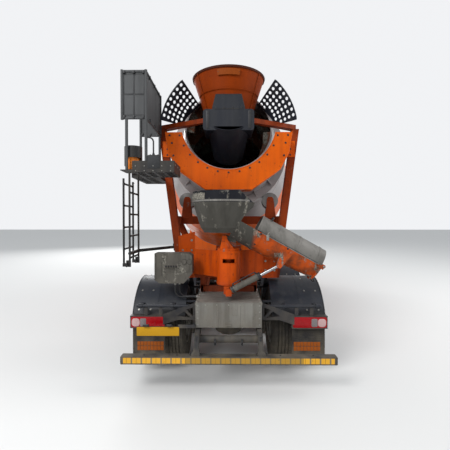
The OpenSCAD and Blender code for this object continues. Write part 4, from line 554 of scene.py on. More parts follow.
class Shape:
    """Collects the solids of one piece, then closes, shades and mounts it."""

    def __init__(self):
        self.bm = bmesh.new()

    def soften(self, verts, edge):
        """Rounds the edges at these corners so that they catch light."""
        edges = list({e for v in verts for e in v.link_edges})
        if edge:
            bmesh.ops.bevel(self.bm, geom=edges, offset=edge, segments=2, profile=0.5, affect="EDGES", material=-1)

    def block(self, xs, ys, zs, edge=0.003, turn=Matrix()):
        """A box wherever three rows of limits cross."""
        rows = [v if isinstance(v[0], (list, tuple)) else (v,) for v in (xs, ys, zs)]
        for x, y, z in product(*rows):
            middle = Vector((x[0] + x[1], y[0] + y[1], z[0] + z[1])) / 2
            size = Matrix.Diagonal((x[1] - x[0], y[1] - y[0], z[1] - z[0], 1.0))
            where = Matrix.Translation(middle) @ turn @ size
            self.soften(bmesh.ops.create_cube(self.bm, size=1.0, matrix=where)["verts"], edge)

    def bolt(self, place, axis, size):
        """A washer and a six-sided head, seated on a surface that faces along the axis."""
        turn = Z.rotation_difference(Vector(axis)).to_matrix().to_4x4()
        for sides, radius, height, lift in ((12, size * 1.6, size * 0.3, 0.0), (6, size, size * 0.8, size * 0.3)):
            where = Matrix.Translation(place) @ turn @ Matrix.Translation((0, 0, lift + height / 2))
            bmesh.ops.create_cone(self.bm, cap_ends=True, segments=sides, radius1=radius, radius2=radius * 0.93,
                                  depth=height, matrix=where)

    def bolts(self, xs, ys, zs, axis, size):
        """A bolt wherever three rows of numbers cross."""
        for place in product(row(xs), row(ys), row(zs)):
            self.bolt(place, axis, size)

    def spun(self, profile, place, axis, steps=40, close=False):
        """Turns (radius, along) points about the axis. close joins the last point to the first."""
        axis = Vector(axis).normalized()
        side = axis.orthogonal().normalized()
        verts = [self.bm.verts.new(Vector(place) + side * r + axis * a) for r, a in profile]
        joined = list(zip(verts, verts[1:])) + ([(verts[-1], verts[0])] if close else [])
        edges = [self.bm.edges.new(pair) for pair in joined]
        bmesh.ops.spin(self.bm, geom=verts + edges, cent=place, axis=axis, angle=math.tau, steps=steps,
                       use_merge=True)
        return self

    def sweep(self, rings):
        """Joins rings of points one after another and caps both ends."""
        rows = [[self.bm.verts.new(point) for point in ring] for ring in rings]
        count = len(rows[0])
        for low, high in zip(rows, rows[1:]):
            for i in range(count):
                j = (i + 1) % count
                self.bm.faces.new((low[i], low[j], high[j], high[i]))
        self.bm.faces.new(rows[0][::-1])
        self.bm.faces.new(rows[-1])
        return [v for ring in rows for v in ring]

    def tube(self, points, radius, sides=8, smooth=6):
        """A round tube or hose along a smooth path through the points."""
        points = [Vector(p) for p in points]
        path = []
        for i in range(len(points) - 1):
            a, b = points[max(i - 1, 0)], points[i]
            c, d = points[i + 1], points[min(i + 2, len(points) - 1)]
            for k in range(smooth if len(points) > 2 else 1):
                t = k / smooth
                path.append(0.5 * (2 * b + (c - a) * t + (2 * a - 5 * b + 4 * c - d) * t * t
                                   + (3 * b - a - 3 * c + d) * t ** 3))
        path.append(points[-1])
        side = (path[1] - path[0]).orthogonal().normalized()
        rings = []
        for i, place in enumerate(path):
            ahead = (path[min(i + 1, len(path) - 1)] - path[max(i - 1, 0)]).normalized()
            side = (side - ahead * side.dot(ahead)).normalized()
            other = ahead.cross(side)
            rings.append([place + turned(angle, side, other) * radius for angle in ring_of(sides)])
        self.sweep(rings)

    def plate(self, outline, low, high, edge=0.002):
        """Pushes a ring of points from one offset to another; edge rounds its rims."""
        self.soften(self.sweep([[Vector(p) + Vector(offset) for p in outline] for offset in (low, high)]), edge)

    def slab(self, outline, low, high, edge):
        """A plate square to the truck's length, from an outline of (x, z) points."""
        self.plate([(x, 0.0, z) for x, z in outline], (0, low, 0), (0, high, 0), edge)

    def sector(self, section, place, axis, zero, start, end, steps=24):
        """Sweeps (radius, along) points through part of a turn; zero is the direction of nought degrees."""
        axis, zero = Vector(axis).normalized(), Vector(zero).normalized()
        other = axis.cross(zero)
        rings = []
        for angle in lane(start, end, steps + 1):
            out = turned(angle, zero, other)
            rings.append([Vector(place) + out * r + axis * along for r, along in section])
        self.sweep(rings)

    def done(self, name, look, body="chassis", angle=35.0, slot=None):
        """Welds what meets, points every face outwards, and hands the piece to its body."""
        bmesh.ops.remove_doubles(self.bm, verts=self.bm.verts, dist=0.00003)
        bmesh.ops.recalc_face_normals(self.bm, faces=self.bm.faces)
        mesh = bpy.data.meshes.new(name)
        self.bm.to_mesh(mesh)
        self.bm.free()
        mesh.shade_smooth()
        mesh.set_sharp_from_angle(angle=math.radians(angle))
        mesh.materials.append(LOOKS[look])
        made = bpy.data.objects.new(name, mesh)
        scene.collection.objects.link(made)
        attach(made, body)
        print(name, "on", body, len(mesh.polygons), "faces")
        return made


def oblong(r0, r1, a0, a1):
    """The four (radius, along) corners of a flat band's section."""
    return [(r0, a0), (r1, a0), (r1, a1), (r0, a1)]


print("kit ready")

# %% [markdown]
# ## Tyres and wheels
# A truck tyre has a square shoulder, a bulged wall and ribs cut into blocks. The section is spun once, then
# every face on top of a rib is inset and raised, which gives a block with a sloping edge for a few dozen
# faces per row. Real discs have hand holes between rim and hub: faces of one band are deleted before
# the sheet gets its thickness.

# %% Tyre maker
TYRE_WALL = [(0.2865, 0.112), (0.300, 0.126), (0.330, 0.139), (0.372, 0.148), (0.420, 0.1495), (0.462, 0.1455),
             (0.466, 0.1475), (0.474, 0.1470), (0.478, 0.1425), (0.505, 0.135), (0.517, 0.127), (0.524, 0.116)]
GROOVES = (0.068, 0.023, -0.023, -0.068)
TREAD, GROOVE_FLOOR = 0.524, 0.512


def make_tyre(name, body, centre):
    """One tyre: a spun section with four grooves, and blocks raised on the ribs between them."""
    section = list(TYRE_WALL)
    for g in GROOVES:
        section += [(TREAD, g + 0.0075), (GROOVE_FLOOR, g + 0.004), (GROOVE_FLOOR, g - 0.004), (TREAD, g - 0.0075)]
    section += [(r, -a) for r, a in reversed(TYRE_WALL)]
    tyre = Shape().spun(section, centre, X, steps=76, close=True)
    bmesh.ops.recalc_face_normals(tyre.bm, faces=tyre.bm.faces)
    tops = []
    for face in tyre.bm.faces:
        out = face.calc_center_median() - centre
        out.x = 0.0
        if out.length > TREAD - 0.0015 and abs(face.normal.dot(out.normalized())) > 0.99:
            tops.append(face)
    bmesh.ops.inset_individual(tyre.bm, faces=tops, thickness=0.0032, depth=0.0052)
    return tyre.done(name, "tyre_rubber", body, slot="tyre_rubber")


print("tyre radius:", TREAD, "m before the blocks")

# %% Rim and disc makers
RIM_RING = [(0.298, -0.130), (0.298, -0.123), (0.287, -0.121), (0.264, -0.096), (0.252, -0.070), (0.252, 0.070),
            (0.264, 0.096), (0.287, 0.121), (0.298, 0.123), (0.298, 0.130), (0.283, 0.1305), (0.258, 0.106),
            (0.243, 0.078), (0.243, -0.078), (0.258, -0.106), (0.283, -0.1305)]


def make_disc(shape, centre, out, place):
    """The dished sheet between rim and hub with eight long hand holes, and ten nuts on studs."""
    disc = bmesh.new()
    profile = [(0.245, place - 0.030), (0.240, place - 0.008), (0.226, place), (0.184, place + 0.006),
               (0.165, place + 0.006), (0.100, place + 0.006)]
    verts = [disc.verts.new(centre + Y * r + out * a) for r, a in profile]
    edges = [disc.edges.new(pair) for pair in zip(verts, verts[1:])]
    bmesh.ops.spin(disc, geom=verts + edges, cent=centre, axis=X, angle=math.tau, steps=40, use_merge=True)
    holes = []
    for face in disc.faces:
        arm = face.calc_center_median() - centre
        arm.x = 0.0
        step = int(round(math.degrees(math.atan2(arm.z, arm.y)) / 9.0 - 0.5)) % 5
        if 0.19 < arm.length < 0.22 and step in (1, 2):
            holes.append(face)
    bmesh.ops.delete(disc, geom=holes, context="FACES")
    bmesh.ops.remove_doubles(disc, verts=disc.verts, dist=0.00005)
    bmesh.ops.recalc_face_normals(disc, faces=disc.faces)
    bmesh.ops.solidify(disc, geom=disc.faces, thickness=0.011)
    spare = bpy.data.meshes.new("disc_sheet")
    disc.to_mesh(spare)
    disc.free()
    shape.bm.from_mesh(spare)
    bpy.data.meshes.remove(spare)
    for angle in ring_of(10, 18):
        seat = centre + turned(angle, Y, Z) * 0.142 + out * (place + 0.008)
        shape.bolt(seat, out, 0.0155)
        shape.spun([(0.0, 0.026), (0.009, 0.025), (0.0105, 0.010)], seat, out, steps=8)


print("rim points:", len(RIM_RING))

# %% Eight wheels
AXLES = {1: 2.92, 2: 0.98, 3: -1.80, 4: -3.17}
WHEEL_Z, FRONT_X, OUTER_X, INNER_X = 0.53, 1.045, 1.075, 0.730
FRONT_CAP = [(0.0, 0.1295), (0.040, 0.1290), (0.064, 0.1240), (0.074, 0.112), (0.092, 0.104), (0.104, 0.098),
             (0.106, 0.060), (0.090, 0.055)]
FRONT_HUB = [(0.086, -0.020), (0.184, -0.027), (0.200, -0.026), (0.202, 0.040), (0.190, 0.066), (0.086, 0.068)]
REAR_CAP = [(0.0, 0.2425), (0.055, 0.2420), (0.074, 0.234), (0.082, 0.214), (0.094, 0.206), (0.104, 0.198),
            (0.108, 0.060), (0.118, 0.050), (0.120, 0.030), (0.100, 0.020)]
REAR_HUB = [(0.0, -0.360), (0.098, -0.360), (0.100, -0.330), (0.204, -0.326), (0.206, -0.170), (0.196, -0.150),
            (0.100, -0.140), (0.100, 0.020)]
SPACER = [(0.266, -0.079), (0.266, 0.079), (0.245, 0.079), (0.245, -0.079)]
for (number, y), (side, word) in product(AXLES.items(), SIDES):
    tag, out = f"{number}{word[0]}", X * side
    front = number < 3
    rim = Shape()
    parts = []
    for x, suffix in ((FRONT_X, ""),) if front else ((OUTER_X, "_outer"), (INNER_X, "_inner")):
        middle = Vector((x * side, y, WHEEL_Z))
        parts.append(make_tyre(f"tyre_{tag}{suffix}", f"roll_{tag}", middle))
        rim.spun(RIM_RING, middle, X, close=True)
    centre = Vector(((FRONT_X if front else (OUTER_X + INNER_X) / 2) * side, y, WHEEL_Z))
    make_disc(rim, centre, out, 0.082 if front else 0.022)
    rim.spun(FRONT_CAP if front else REAR_CAP, centre, out)
    if front:
        rim.spun(FRONT_HUB, centre, out, close=True)
    else:
        rim.spun(SPACER, centre, out, close=True)
        rim.spun(REAR_HUB, centre, out)
        for angle in ring_of(8):
            rim.bolt(centre + turned(angle, Y, Z) * 0.093 + out * 0.206, out, 0.006)
    for part in parts + [rim.done(f"rim_{tag}", "rim_paint", f"roll_{tag}")]:
        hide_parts(f"wheel_{tag}")

# %% [markdown]
# ## Rear lamps, number plate and flaps
# Each lamp is one long red lens in a black housing, with a clear window for the reversing lamp near its
# outer end and a dull one beside it; the window's pale pink is red with a painted white reflection. Two
# faint rings show the cups behind the red. The flap carries a reflector of small cells. The plate is blank.

# %% Lamp lenses
LAMP_FACE, LAMP_Z = -3.885, 0.730
CUP = [(0.052, -0.003), (0.052, 0.0055), (0.048, 0.0065), (0.044, 0.0055), (0.044, -0.003)]
LENSES = (("red", 0.812, 1.240, 0.663, 0.797, 0.022, 0.0048, "red_lens"),
          ("clear", 1.128, 1.228, 0.675, 0.777, 0.036, 0.0070, "reversing_lens_painted_reflection"),
          ("grey", 1.046, 1.122, 0.675, 0.777, 0.014, 0.0062, "grey_lens"))
for side, word in SIDES:
    for tag, near, far, z0, z1, corner, proud, look in LENSES:
        x0, x1 = span(side, near, far)
        piece = Shape()
        piece.slab(round_box(x0, x1, z0, z1, corner), LAMP_FACE + 0.001, LAMP_FACE - proud, 0.0018)
        if tag == "red":
            for x in (0.880, 0.985):
                piece.spun(CUP, (x * side, LAMP_FACE, LAMP_Z), -Y, steps=32)
        else:
            piece.block((x0 + 0.008, x1 - 0.008), (LAMP_FACE - proud - 0.0008, LAMP_FACE),
                        about(lane(z0 + corner, z1 - corner, 5), 0.002), 0.0007)
        piece.done(f"lamp_{tag}_{word}", look, slot="lamp_red" if tag == "red" else None)
    piece = Shape()
    piece.bolts((0.806 * side, 1.245 * side), LAMP_FACE + 0.0005, (0.672, 0.788), -Y, 0.003)
    piece.done(f"lamp_screws_{word}", "bolt_black")

# %% Mud flaps: reflector, ribs and clamping strip
FLAP_FACE = -3.799
for side, word in SIDES:
    x0, x1 = span(side, 0.838, 1.182)
    piece = Shape()
    piece.block(about(lane(x0 + 0.0215, x1 - 0.0215, 8), 0.0193), (-3.8035, -3.7985),
                [(0.338, 0.392), (0.397, 0.452)], 0.0012)
    piece.done(f"flap_reflector_{word}", "flap_tape")
    x0, x1 = span(side, 0.826, 1.234)
    piece = Shape()
    piece.block((x0 + 0.02, x1 - 0.02), (-3.8045, FLAP_FACE), about(lane(0.480, 0.620, 6), 0.004), 0.0015)
    piece.block((x0 + 0.01, x1 - 0.01), (-3.8035, FLAP_FACE), about((0.272, 0.330), 0.003), 0.001)
    piece.block(about((x0 + 0.006, x1 - 0.006), 0.005), (-3.804, FLAP_FACE), (0.270, 0.640), 0.0015)
    piece.done(f"flap_ribs_{word}", "soft_rubber")
    piece = Shape()
    piece.block((x0 + 0.01, x1 - 0.01), (-3.7885, -3.7835), (0.712, 0.748), 0.001)
    piece.bolts(lane(x0 + 0.05, x1 - 0.05, 4), -3.7838, LAMP_Z, Y, 0.008)
    piece.done(f"flap_strip_{word}", "bolt_zinc")

# %% Blank number plate, its rails and lamps
PLATE_FACE = -4.1572
piece = Shape()
piece.slab(round_box(-1.093, -0.587, 0.647, 0.753, 0.010), PLATE_FACE + 0.003, PLATE_FACE, 0.0008)
for x in (-1.04, -0.64):
    piece.spun([(0.0, 0.0026), (0.005, 0.0024), (0.008, 0.0012), (0.0085, 0.0)], (x, PLATE_FACE, 0.70), -Y, steps=16)
piece.done("number_plate", "plate_yellow")
piece = Shape()
piece.block((-1.0945, -0.5855), (-4.1560, -4.1500), about((0.6435, 0.7565), 0.002), 0.001)
piece.done("number_plate_rails", "bolt_black")
piece = Shape()
piece.block(about((-0.98, -0.70), 0.035), (-4.188, -4.152), (0.762, 0.786), 0.006)
piece.done("number_plate_lamps", "bolt_black")

# %% [markdown]
# ## Cover over the frame's end, underrun bar fittings
# The cover is bent sheet: its edges are hemmed and a row of bolts holds it to the frame. Fittings are
# small, but they give the eye a scale in a close view.

# %% Cover fittings
COVER_BACK = -4.102
piece = Shape()
piece.bolts(both(0.385), lane(-4.06, -3.52, 5), 1.030, Z, 0.007)
piece.bolts(both(0.372), COVER_BACK, lane(0.765, 0.995, 4), -Y, 0.007)
piece.bolts(lane(-0.28, 0.28, 5), COVER_BACK, 1.004, -Y, 0.005)
piece.done("cover_bolts", "bolt_zinc")
piece = Shape()
piece.tube([(-0.400, -4.101, 1.028), (0.400, -4.101, 1.028)], 0.0045)
for x in both(0.401):
    piece.tube([(x, -4.10, 1.028), (x, -3.475, 1.028)], 0.0042)
piece.block(about(both(0.13), 0.012), (-4.1055, -4.1015), (0.735, 1.020), 0.0015)
piece.done("cover_hems", "zinc_plate")

# %% Raised tread of the cover
piece = Shape()
for line, z in enumerate(lane(0.752, 0.985, 11)):
    for column, x in enumerate(lane(-0.345, 0.345, 15)):
        on_hem, on_latch = abs(abs(x) - 0.13) < 0.02, abs(x) < 0.06 and z < 0.80
        if not (on_hem or on_latch):
            tilt = Matrix.Rotation(math.radians(45 if (line + column) % 2 else -45), 4, "Y")
            piece.block(about(x, 0.013), (-4.1034, -4.1010), about(z, 0.003), 0.0, tilt)
piece.done("cover_tread", "zinc_plate")

# %% Bar bolts, end caps and the hooks under the cross-tube
piece = Shape()
piece.bolts(both(0.335, 0.435), (-4.272, -4.228), 0.463, Z, 0.008)
piece.bolts(both(0.370), -4.2795, (0.640, 0.672), -Y, 0.008)
piece.bolts(both(0.60, 0.98), -4.25, 0.455, Z, 0.007)
piece.done("bar_bolts", "bolt_black")
piece = Shape()
piece.block(pairs(1.2395, 1.2465), (-4.2990, -4.2010), (0.3660, 0.4540))
piece.done("bar_end_caps", "bolt_black")
piece = Shape()
for x in both(0.16):
    piece.tube([(x, -4.135, 0.60), (x, -4.165, 0.605), (x, -4.185, 0.58), (x, -4.170, 0.548), (x, -4.140, 0.560)],
               0.010, sides=10)
piece.done("cross_tube_hooks", "bolt_black")

# %% [markdown]
# ## Hopper, collar and collector
# The hopper is rolled from two sheets, so it has a weld down its back and a blank plate near the rim. The
# gutter's edge is a rolled lip, and its crescent wall is bolted round the mouth.

# %% Hopper details
FOOT, RIM = Vector((0, -3.433, 3.450)), Vector((0, -3.310, 4.010))


def hopper_point(angle, z, more=0.0):
    """A point on the funnel at an angle; 270 is straight behind."""
    share = (z - FOOT.z) / (RIM.z - FOOT.z)
    return FOOT.lerp(RIM, share) + turned(angle) * (0.322 + 0.178 * share + more)


def hopper_patch(shape, angles, heights, proud, columns=36):
    """A thin curved plate on the funnel."""
    corners = [(heights[0], -0.002), (heights[1], -0.002), (heights[1], proud), (heights[0], proud)]
    shape.sweep([[hopper_point(a, z, more) for z, more in corners] for a in lane(*angles, columns)])


piece = Shape()
hopper_patch(piece, (252, 288), (3.885, 3.960), 0.0030, 8)
piece.done("hopper_plate", "label_bare")
piece = Shape()
for angle in (212, 328):
    hopper_patch(piece, (angle - 0.8, angle + 0.8), (3.455, 3.982), 0.0035, 3)
hopper_patch(piece, (185, 355), (3.452, 3.474), 0.0060)
hopper_patch(piece, (185, 355), (3.715, 3.725), 0.0028)
# The seams wear the hopper's darker orange, which is painted shade.
piece.done("hopper_seams", "hopper_orange_painted_shade")
piece = Shape()
for angle in lane(195, 345, 9):
    piece.bolt(hopper_point(angle, 3.463, 0.004), turned(angle), 0.007)
for angle in (253.5, 286.5):
    piece.bolt(hopper_point(angle, 3.9225, 0.0028), turned(angle), 0.003)
piece.done("hopper_bolts", "bolt_black")

# %% Collar and flap details
piece = Shape()
piece.bolts(lane(-0.165, 0.165, 4), -3.780, 3.470, -Y, 0.008)
piece.bolts(both(0.270), -3.780, (3.225, 3.400), -Y, 0.008)
piece.block(pairs(0.250, 0.292), (-3.7835, -3.7795), (3.200, 3.430), 0.0015)
piece.done("collar_bolts", "bolt_black")
piece = Shape()
piece.tube([(x, -3.7765, z) for x, z in ((-0.208, 3.46), (-0.165, 3.637), (0.165, 3.637), (0.208, 3.46))],
           0.006, smooth=1)
piece.block((-0.19, 0.19), (-3.7840, -3.7795), (3.448, 3.458), 0.0015)
piece.done("flap_edge", "soft_rubber")

# %% Collector lips and bolts
GUTTER_BACK, MOUTH_Z = -3.758, 3.30
piece = Shape()
for side in (-1, 1):
    piece.tube([(0.816 * side, -3.756, 3.158), (0.816 * side, -3.432, 3.158)], 0.009, sides=10)
    piece.tube([(x * side, -3.756, z) for x, z in ((0.818, 3.150), (0.778, 2.900), (0.668, 2.682), (0.300, 2.424))],
               0.0065, smooth=1)
piece.sector(oblong(0.619, 0.629, -0.001, 0.004), (0, GUTTER_BACK, MOUTH_Z), -Y, X, -13, -167, steps=48)
piece.done("collector_lip", "collector_paint")
piece = Shape()
for angle in lane(196, 344, 13):
    piece.bolt(Vector((0, GUTTER_BACK, MOUTH_Z)) + turned(angle, X, Z) * 0.660, -Y, 0.0085)
for x, z in ((0.765, 3.12), (0.735, 3.02), (0.715, 2.86)):
    piece.bolts(both(x), GUTTER_BACK, z, -Y, 0.0085)
piece.bolts(both(0.855), -3.420, (2.93, 3.01, 3.09), -Y, 0.008)
piece.done("collector_bolts", "bolt_black")
piece = Shape()
piece.block(pairs(0.215, 0.245), (-3.735, -3.50), (2.4185, 2.4215), 0.001)
piece.done("collector_outlet_strips", "collector_paint")

# %% [markdown]
# ## Drum details
# The shell is rolled in strips, so weld beads run round it where cone meets cylinder and between strips.
# A bolted hatch lets a person inside to break out old concrete. The roller ring carries lugs. Places on the
# drum are measured along its axis from the mouth; its front end leaves room for the drive and the tank.

# %% Drum stations
TO_TANK_Y, DRIVE_ROOM = 5.295, 0.6703
FRONT_S = TO_TANK_Y / math.cos(TILT) - DRIVE_ROOM
CONE_S, BARREL_S = FRONT_S * 0.396, FRONT_S * 0.626
DRUM_SIDE = DRUM_AXIS.cross(X)


def shell_radius(s):
    """The shell's outer radius at a distance s from the mouth."""
    if s < CONE_S:
        return 0.600 + 0.550 * s / CONE_S
    return 1.150 if s < BARREL_S else 1.150 - 0.530 * (s - BARREL_S) / (FRONT_S - BARREL_S)


def on_drum(s, out, radius):
    """A point at a distance s from the mouth, a radius away from the axis."""
    return MOUTH + DRUM_AXIS * s + out * radius


print("drum length", round(FRONT_S, 3))

# %% Drum welds, hatch, ring lugs and lip
piece = Shape()
for s in (0.30, 1.10, CONE_S, (CONE_S + BARREL_S) / 2, BARREL_S, BARREL_S + 0.6, BARREL_S + 1.2, FRONT_S - 0.01):
    r = shell_radius(s) - 0.001
    piece.spun([(r, s - 0.006), (r + 0.004, s - 0.003), (r + 0.004, s + 0.003), (r, s + 0.006)], MOUTH, DRUM_AXIS,
               steps=72)
piece.done("drum_welds", "drum_paint", "drum")
piece = Shape()
piece.sector(oblong(1.149, 1.162, 2.24, 2.72), MOUTH, DRUM_AXIS, X, -36, -12, steps=10)
piece.sector(oblong(1.160, 1.170, 2.30, 2.66), MOUTH, DRUM_AXIS, X, -33, -15, steps=8)
for angle, s in product(lane(-34.5, -13.5, 5), (2.265, 2.695)):
    out = turned(angle, X, DRUM_SIDE)
    piece.bolt(on_drum(s, out, 1.1615), out, 0.010)
piece.done("drum_hatch", "drum_paint", "drum")
piece = Shape()
for angle, (s, way) in product(ring_of(18), ((0.700, -1), (0.800, 1))):
    out = turned(angle, X, DRUM_SIDE)
    across = DRUM_AXIS.cross(out) * 0.005
    ring_s, far_s = 0.75 + way * 0.045, s + way * 0.075
    piece.plate([on_drum(far_s, out, shell_radius(far_s) - 0.003), on_drum(ring_s, out, shell_radius(s) - 0.02),
                 on_drum(ring_s, out, 0.895)], -across, across, 0.0)
piece.done("drum_ring_lugs", "drum_paint", "drum")
piece = Shape()
piece.spun([(0.598, -0.002), (0.606, -0.005), (0.616, -0.003), (0.618, 0.006), (0.616, 0.024), (0.600, 0.026)],
           MOUTH, DRUM_AXIS, steps=72)
piece.done("drum_mouth_lip", "drum_paint", "drum")

# %% [markdown]
# ## Chute details
# The bowl's black band is held by a flat strip with rivets. The hinges need visible pin heads, a latch keeps
# the folded half shut, and a bent grip at the trough's end lets a person swing the chute by hand.

# %% Chute points
TROUGH_W, LID_W = 0.28, 0.285


def chute_at(u, v, w):
    """A point in the chute's own frame: down the slope, across, and square to it."""
    return CHUTE + CHUTE_DOWN * u + Vector((0, v, 0)) + CHUTE_UP * w


def trough_radius(u):
    """The trough narrows towards its end."""
    return 0.250 if u < 0.5 else 0.250 - 0.055 * (u - 0.5) / 0.7


print("chute end:", chute_at(1.2, 0, TROUGH_W))

# %% Bowl strip, rivets and crust
bowl = Vector((-0.06, -3.83, 0.0))
piece = Shape()
piece.sector(oblong(0.3935, 0.3975, 2.246, 2.268), bowl, Z, X, 38, 322, steps=48)
piece.done("bowl_strip", "lid_steel", "trough")
piece = Shape()
for angle in lane(44, 316, 17):
    piece.bolt(bowl + turned(angle) * 0.3975 + Z * 2.257, turned(angle), 0.005)
piece.done("bowl_rivets", "bolt_zinc", "trough")
piece = Shape()
piece.sector([(0.389, 2.376), (0.393, 2.368), (0.402, 2.340), (0.401, 2.300), (0.397, 2.272), (0.3945, 2.271),
              (0.3945, 2.376)], bowl, Z, X, 150, 236, steps=26)
for index, vert in enumerate(piece.bm.verts):
    swing = math.sin(index * 2.3 + 7) * 0.5 + math.sin(index * 0.71) * 0.5
    if vert.co.z > 2.29:
        vert.co.z += 0.010 * swing - 0.012
piece.done("bowl_crust", "cement_crust", "trough", angle=60)

# %% Trough fittings
LID_PIN = [(0.0, 0.012), (0.010, 0.012), (0.013, 0.009), (0.014, 0.0)]
TROUGH_PIN = [(0.0, 0.012), (0.014, 0.012), (0.022, 0.008), (0.023, 0.0)]
STRAP_ANGLE = 40
pins, bolts, lips = Shape(), Shape(), Shape()
for side in (-1, 1):
    way = Y * side
    pins.spun(LID_PIN, chute_at(1.215, 0.2336 * side, LID_W), way, steps=16)
    pins.spun(TROUGH_PIN, chute_at(0.0, 0.086 * side, 0.0), way, steps=20)
    lips.tube([chute_at(u, side * (trough_radius(u) - 0.003), 0.2785) for u in (0.36, 0.5, 0.8, 1.17)], 0.0062,
              smooth=3)
    for u in (0.357, 0.727):
        bolts.bolt(chute_at(u, side * (trough_radius(u) + 0.0065), 0.262), way, 0.008)
        under = turned(STRAP_ANGLE, way, -CHUTE_UP)
        bolts.bolt(chute_at(u, 0.0, TROUGH_W) + under * (trough_radius(u) + 0.006), under, 0.008)
pins.done("chute_pins", "bolt_zinc", "trough")
bolts.done("chute_strap_bolts", "bolt_black", "trough")
lips.done("chute_lips", "lid_steel", "trough")
piece = Shape()
piece.tube([chute_at(*place) for place in ((1.188, -0.10, 0.105), (1.235, -0.09, 0.075), (1.245, 0.0, 0.060),
                                           (1.235, 0.09, 0.075), (1.188, 0.10, 0.105))], 0.008, sides=10, smooth=5)
piece.done("chute_handle", "bolt_black", "trough")

# %% Folding half: ribs, grip and latch
piece = Shape()
for u in (0.306, 0.56, 0.84, 1.12):
    piece.sector(oblong(0.1940, 0.1995, -0.012, 0.012), chute_at(u, 0, LID_W), CHUTE_DOWN, Y, 2, 178)
piece.done("lid_ribs", "lid_steel", "extension")
piece = Shape()
piece.tube([chute_at(0.42, v, LID_W + w) for v, w in ((-0.07, 0.184), (-0.065, 0.232), (0.065, 0.232),
                                                      (0.07, 0.184))], 0.0075, smooth=4)
for v in both(0.1915):
    piece.tube([chute_at(0.302, v, 0.2875), chute_at(1.14, v, 0.2875)], 0.005)
piece.done("lid_handle", "bolt_black", "extension")
piece = Shape()
latch = chute_at(0.45, -0.2505, 0.262)
piece.block(about(latch.x, 0.016), (latch.y - 0.010, latch.y + 0.002), about(latch.z, 0.035))
piece.tube([latch + Vector(way) for way in ((0, -0.008, 0.030), (0.004, -0.014, 0.052), (0.020, -0.012, 0.062))],
           0.005, smooth=4)
piece.done("chute_latch", "bolt_zinc", "trough")

# %% Swivel head and ram details
COLUMN = Vector((0, -3.83, 0))
piece = Shape()
for angle in ring_of(6, 30):
    piece.bolt(COLUMN + turned(angle) * 0.122 + Z * 1.6405, Z, 0.009)
piece.done("column_bolts", "bolt_black")
RAM_BASE, RAM_TILT = Vector((0.0, -4.03, 1.15)), 27.587
ram, square = turned(RAM_TILT, X, Z), turned(RAM_TILT, Z, -X)
GLAND = [(0.0385, 0.400), (0.0425, 0.402), (0.0425, 0.437), (0.040, 0.4425), (0.0225, 0.4425), (0.0225, 0.430)]
piece = Shape()
piece.spun(GLAND, RAM_BASE, ram, steps=28)
piece.spun([(0.0375, 0.052), (0.0410, 0.054), (0.0410, 0.070), (0.0375, 0.072)], RAM_BASE, ram, steps=28)
for at in (0.085, 0.395):
    piece.spun([(0.011, 0.0), (0.011, 0.014), (0.008, 0.016), (0.008, 0.026), (0.0, 0.027)],
               RAM_BASE + ram * at + square * 0.036, square, steps=12)
piece.tube([RAM_BASE + ram * at + square * up for at, up in ((0.395, 0.060), (0.34, 0.066), (0.16, 0.062),
                                                             (0.085, 0.062))], 0.006)
piece.done("ram_fittings", "bolt_black", "barrel")

# %% Wing bolts and the column's rings
piece = Shape()
piece.bolts(both(0.515), -3.4225, (1.32, 1.45, 1.60, 1.74), -Y, 0.010)
piece.bolts(both(0.640), -3.4225, (1.32, 1.45, 1.60), -Y, 0.010)
piece.done("wing_bolts", "bolt_zinc")
piece = Shape()
for radius, low, high, half_turn in ((0.1545, 1.484, 1.490, 30), (0.1545, 1.541, 1.547, 30),
                                     (0.1555, 1.225, 1.245, 100), (0.1560, 1.610, 1.634, 100)):
    piece.sector(oblong(0.1495, radius, low, high), COLUMN, Z, -Y, -half_turn, half_turn,
                 steps=24 if half_turn > 90 else 10)
piece.done("column_rings", "pedestal_paint")

# %% [markdown]
# ## Control cabinet, platform and beacon
# A driver works drum and chute from the cabinet, so it has knobs, two gauges and bare plates round the levers.
# The platform's grating is made of upright bars with light showing between them.

# %% Levers, gauges, lid and hose fittings
CABINET_FACE, HOSE_FLOOR = -3.8005, 1.205
KNOB = [(0.0, 0.020), (0.006, 0.019), (0.0105, 0.014), (0.0125, 0.006), (0.011, -0.002), (0.0075, -0.008),
        (0.0065, -0.014)]
piece = Shape()
for x in lane(-0.799, -0.671, 5):
    piece.spun(KNOB, (x, -3.850, 1.430), (0.008, -0.052, 0.030), steps=14)
piece.done("lever_knobs", "bolt_black")
piece = Shape()
piece.block((-0.835, -0.630), (-3.8045, CABINET_FACE), (1.345, 1.470), 0.0015)
piece.block((-0.930, -0.865), (-3.8050, CABINET_FACE), (1.30, 1.48), 0.002)
piece.block((-0.605, -0.500), (-3.8040, CABINET_FACE), (1.350, 1.430), 0.0015)
for x in (-0.575, -0.505):
    piece.spun([(0.032, 0.0), (0.033, 0.010), (0.030, 0.013), (0.028, 0.010), (0.0, 0.010)],
               (x, CABINET_FACE, 1.485), -Y, steps=24)
piece.bolts((-0.940, -0.560), -3.8003, (1.275, 1.560), -Y, 0.006)
piece.done("cabinet_board", "dirty_alloy")
piece = Shape()
for x in (-0.90, -0.60):
    piece.tube([(x - 0.03, -3.796, 1.5925), (x + 0.03, -3.796, 1.5925)], 0.005)
piece.block((-0.955, -0.512), (-3.8030, -3.5970), (1.5895, 1.5945), 0.002)
piece.done("cabinet_lid", "dirty_alloy")
piece = Shape()
for x, y in ((-0.700, -3.720), (-0.650, -3.670)):
    piece.spun([(0.018, 0.0), (0.018, 0.018), (0.014, 0.022), (0.014, 0.034), (0.0115, 0.036)], (x, y, HOSE_FLOOR),
               -Z, steps=12)
    piece.spun([(0.016, 0.0), (0.016, 0.020), (0.0115, 0.024)], (-0.403, y, 1.015), -X, steps=12)
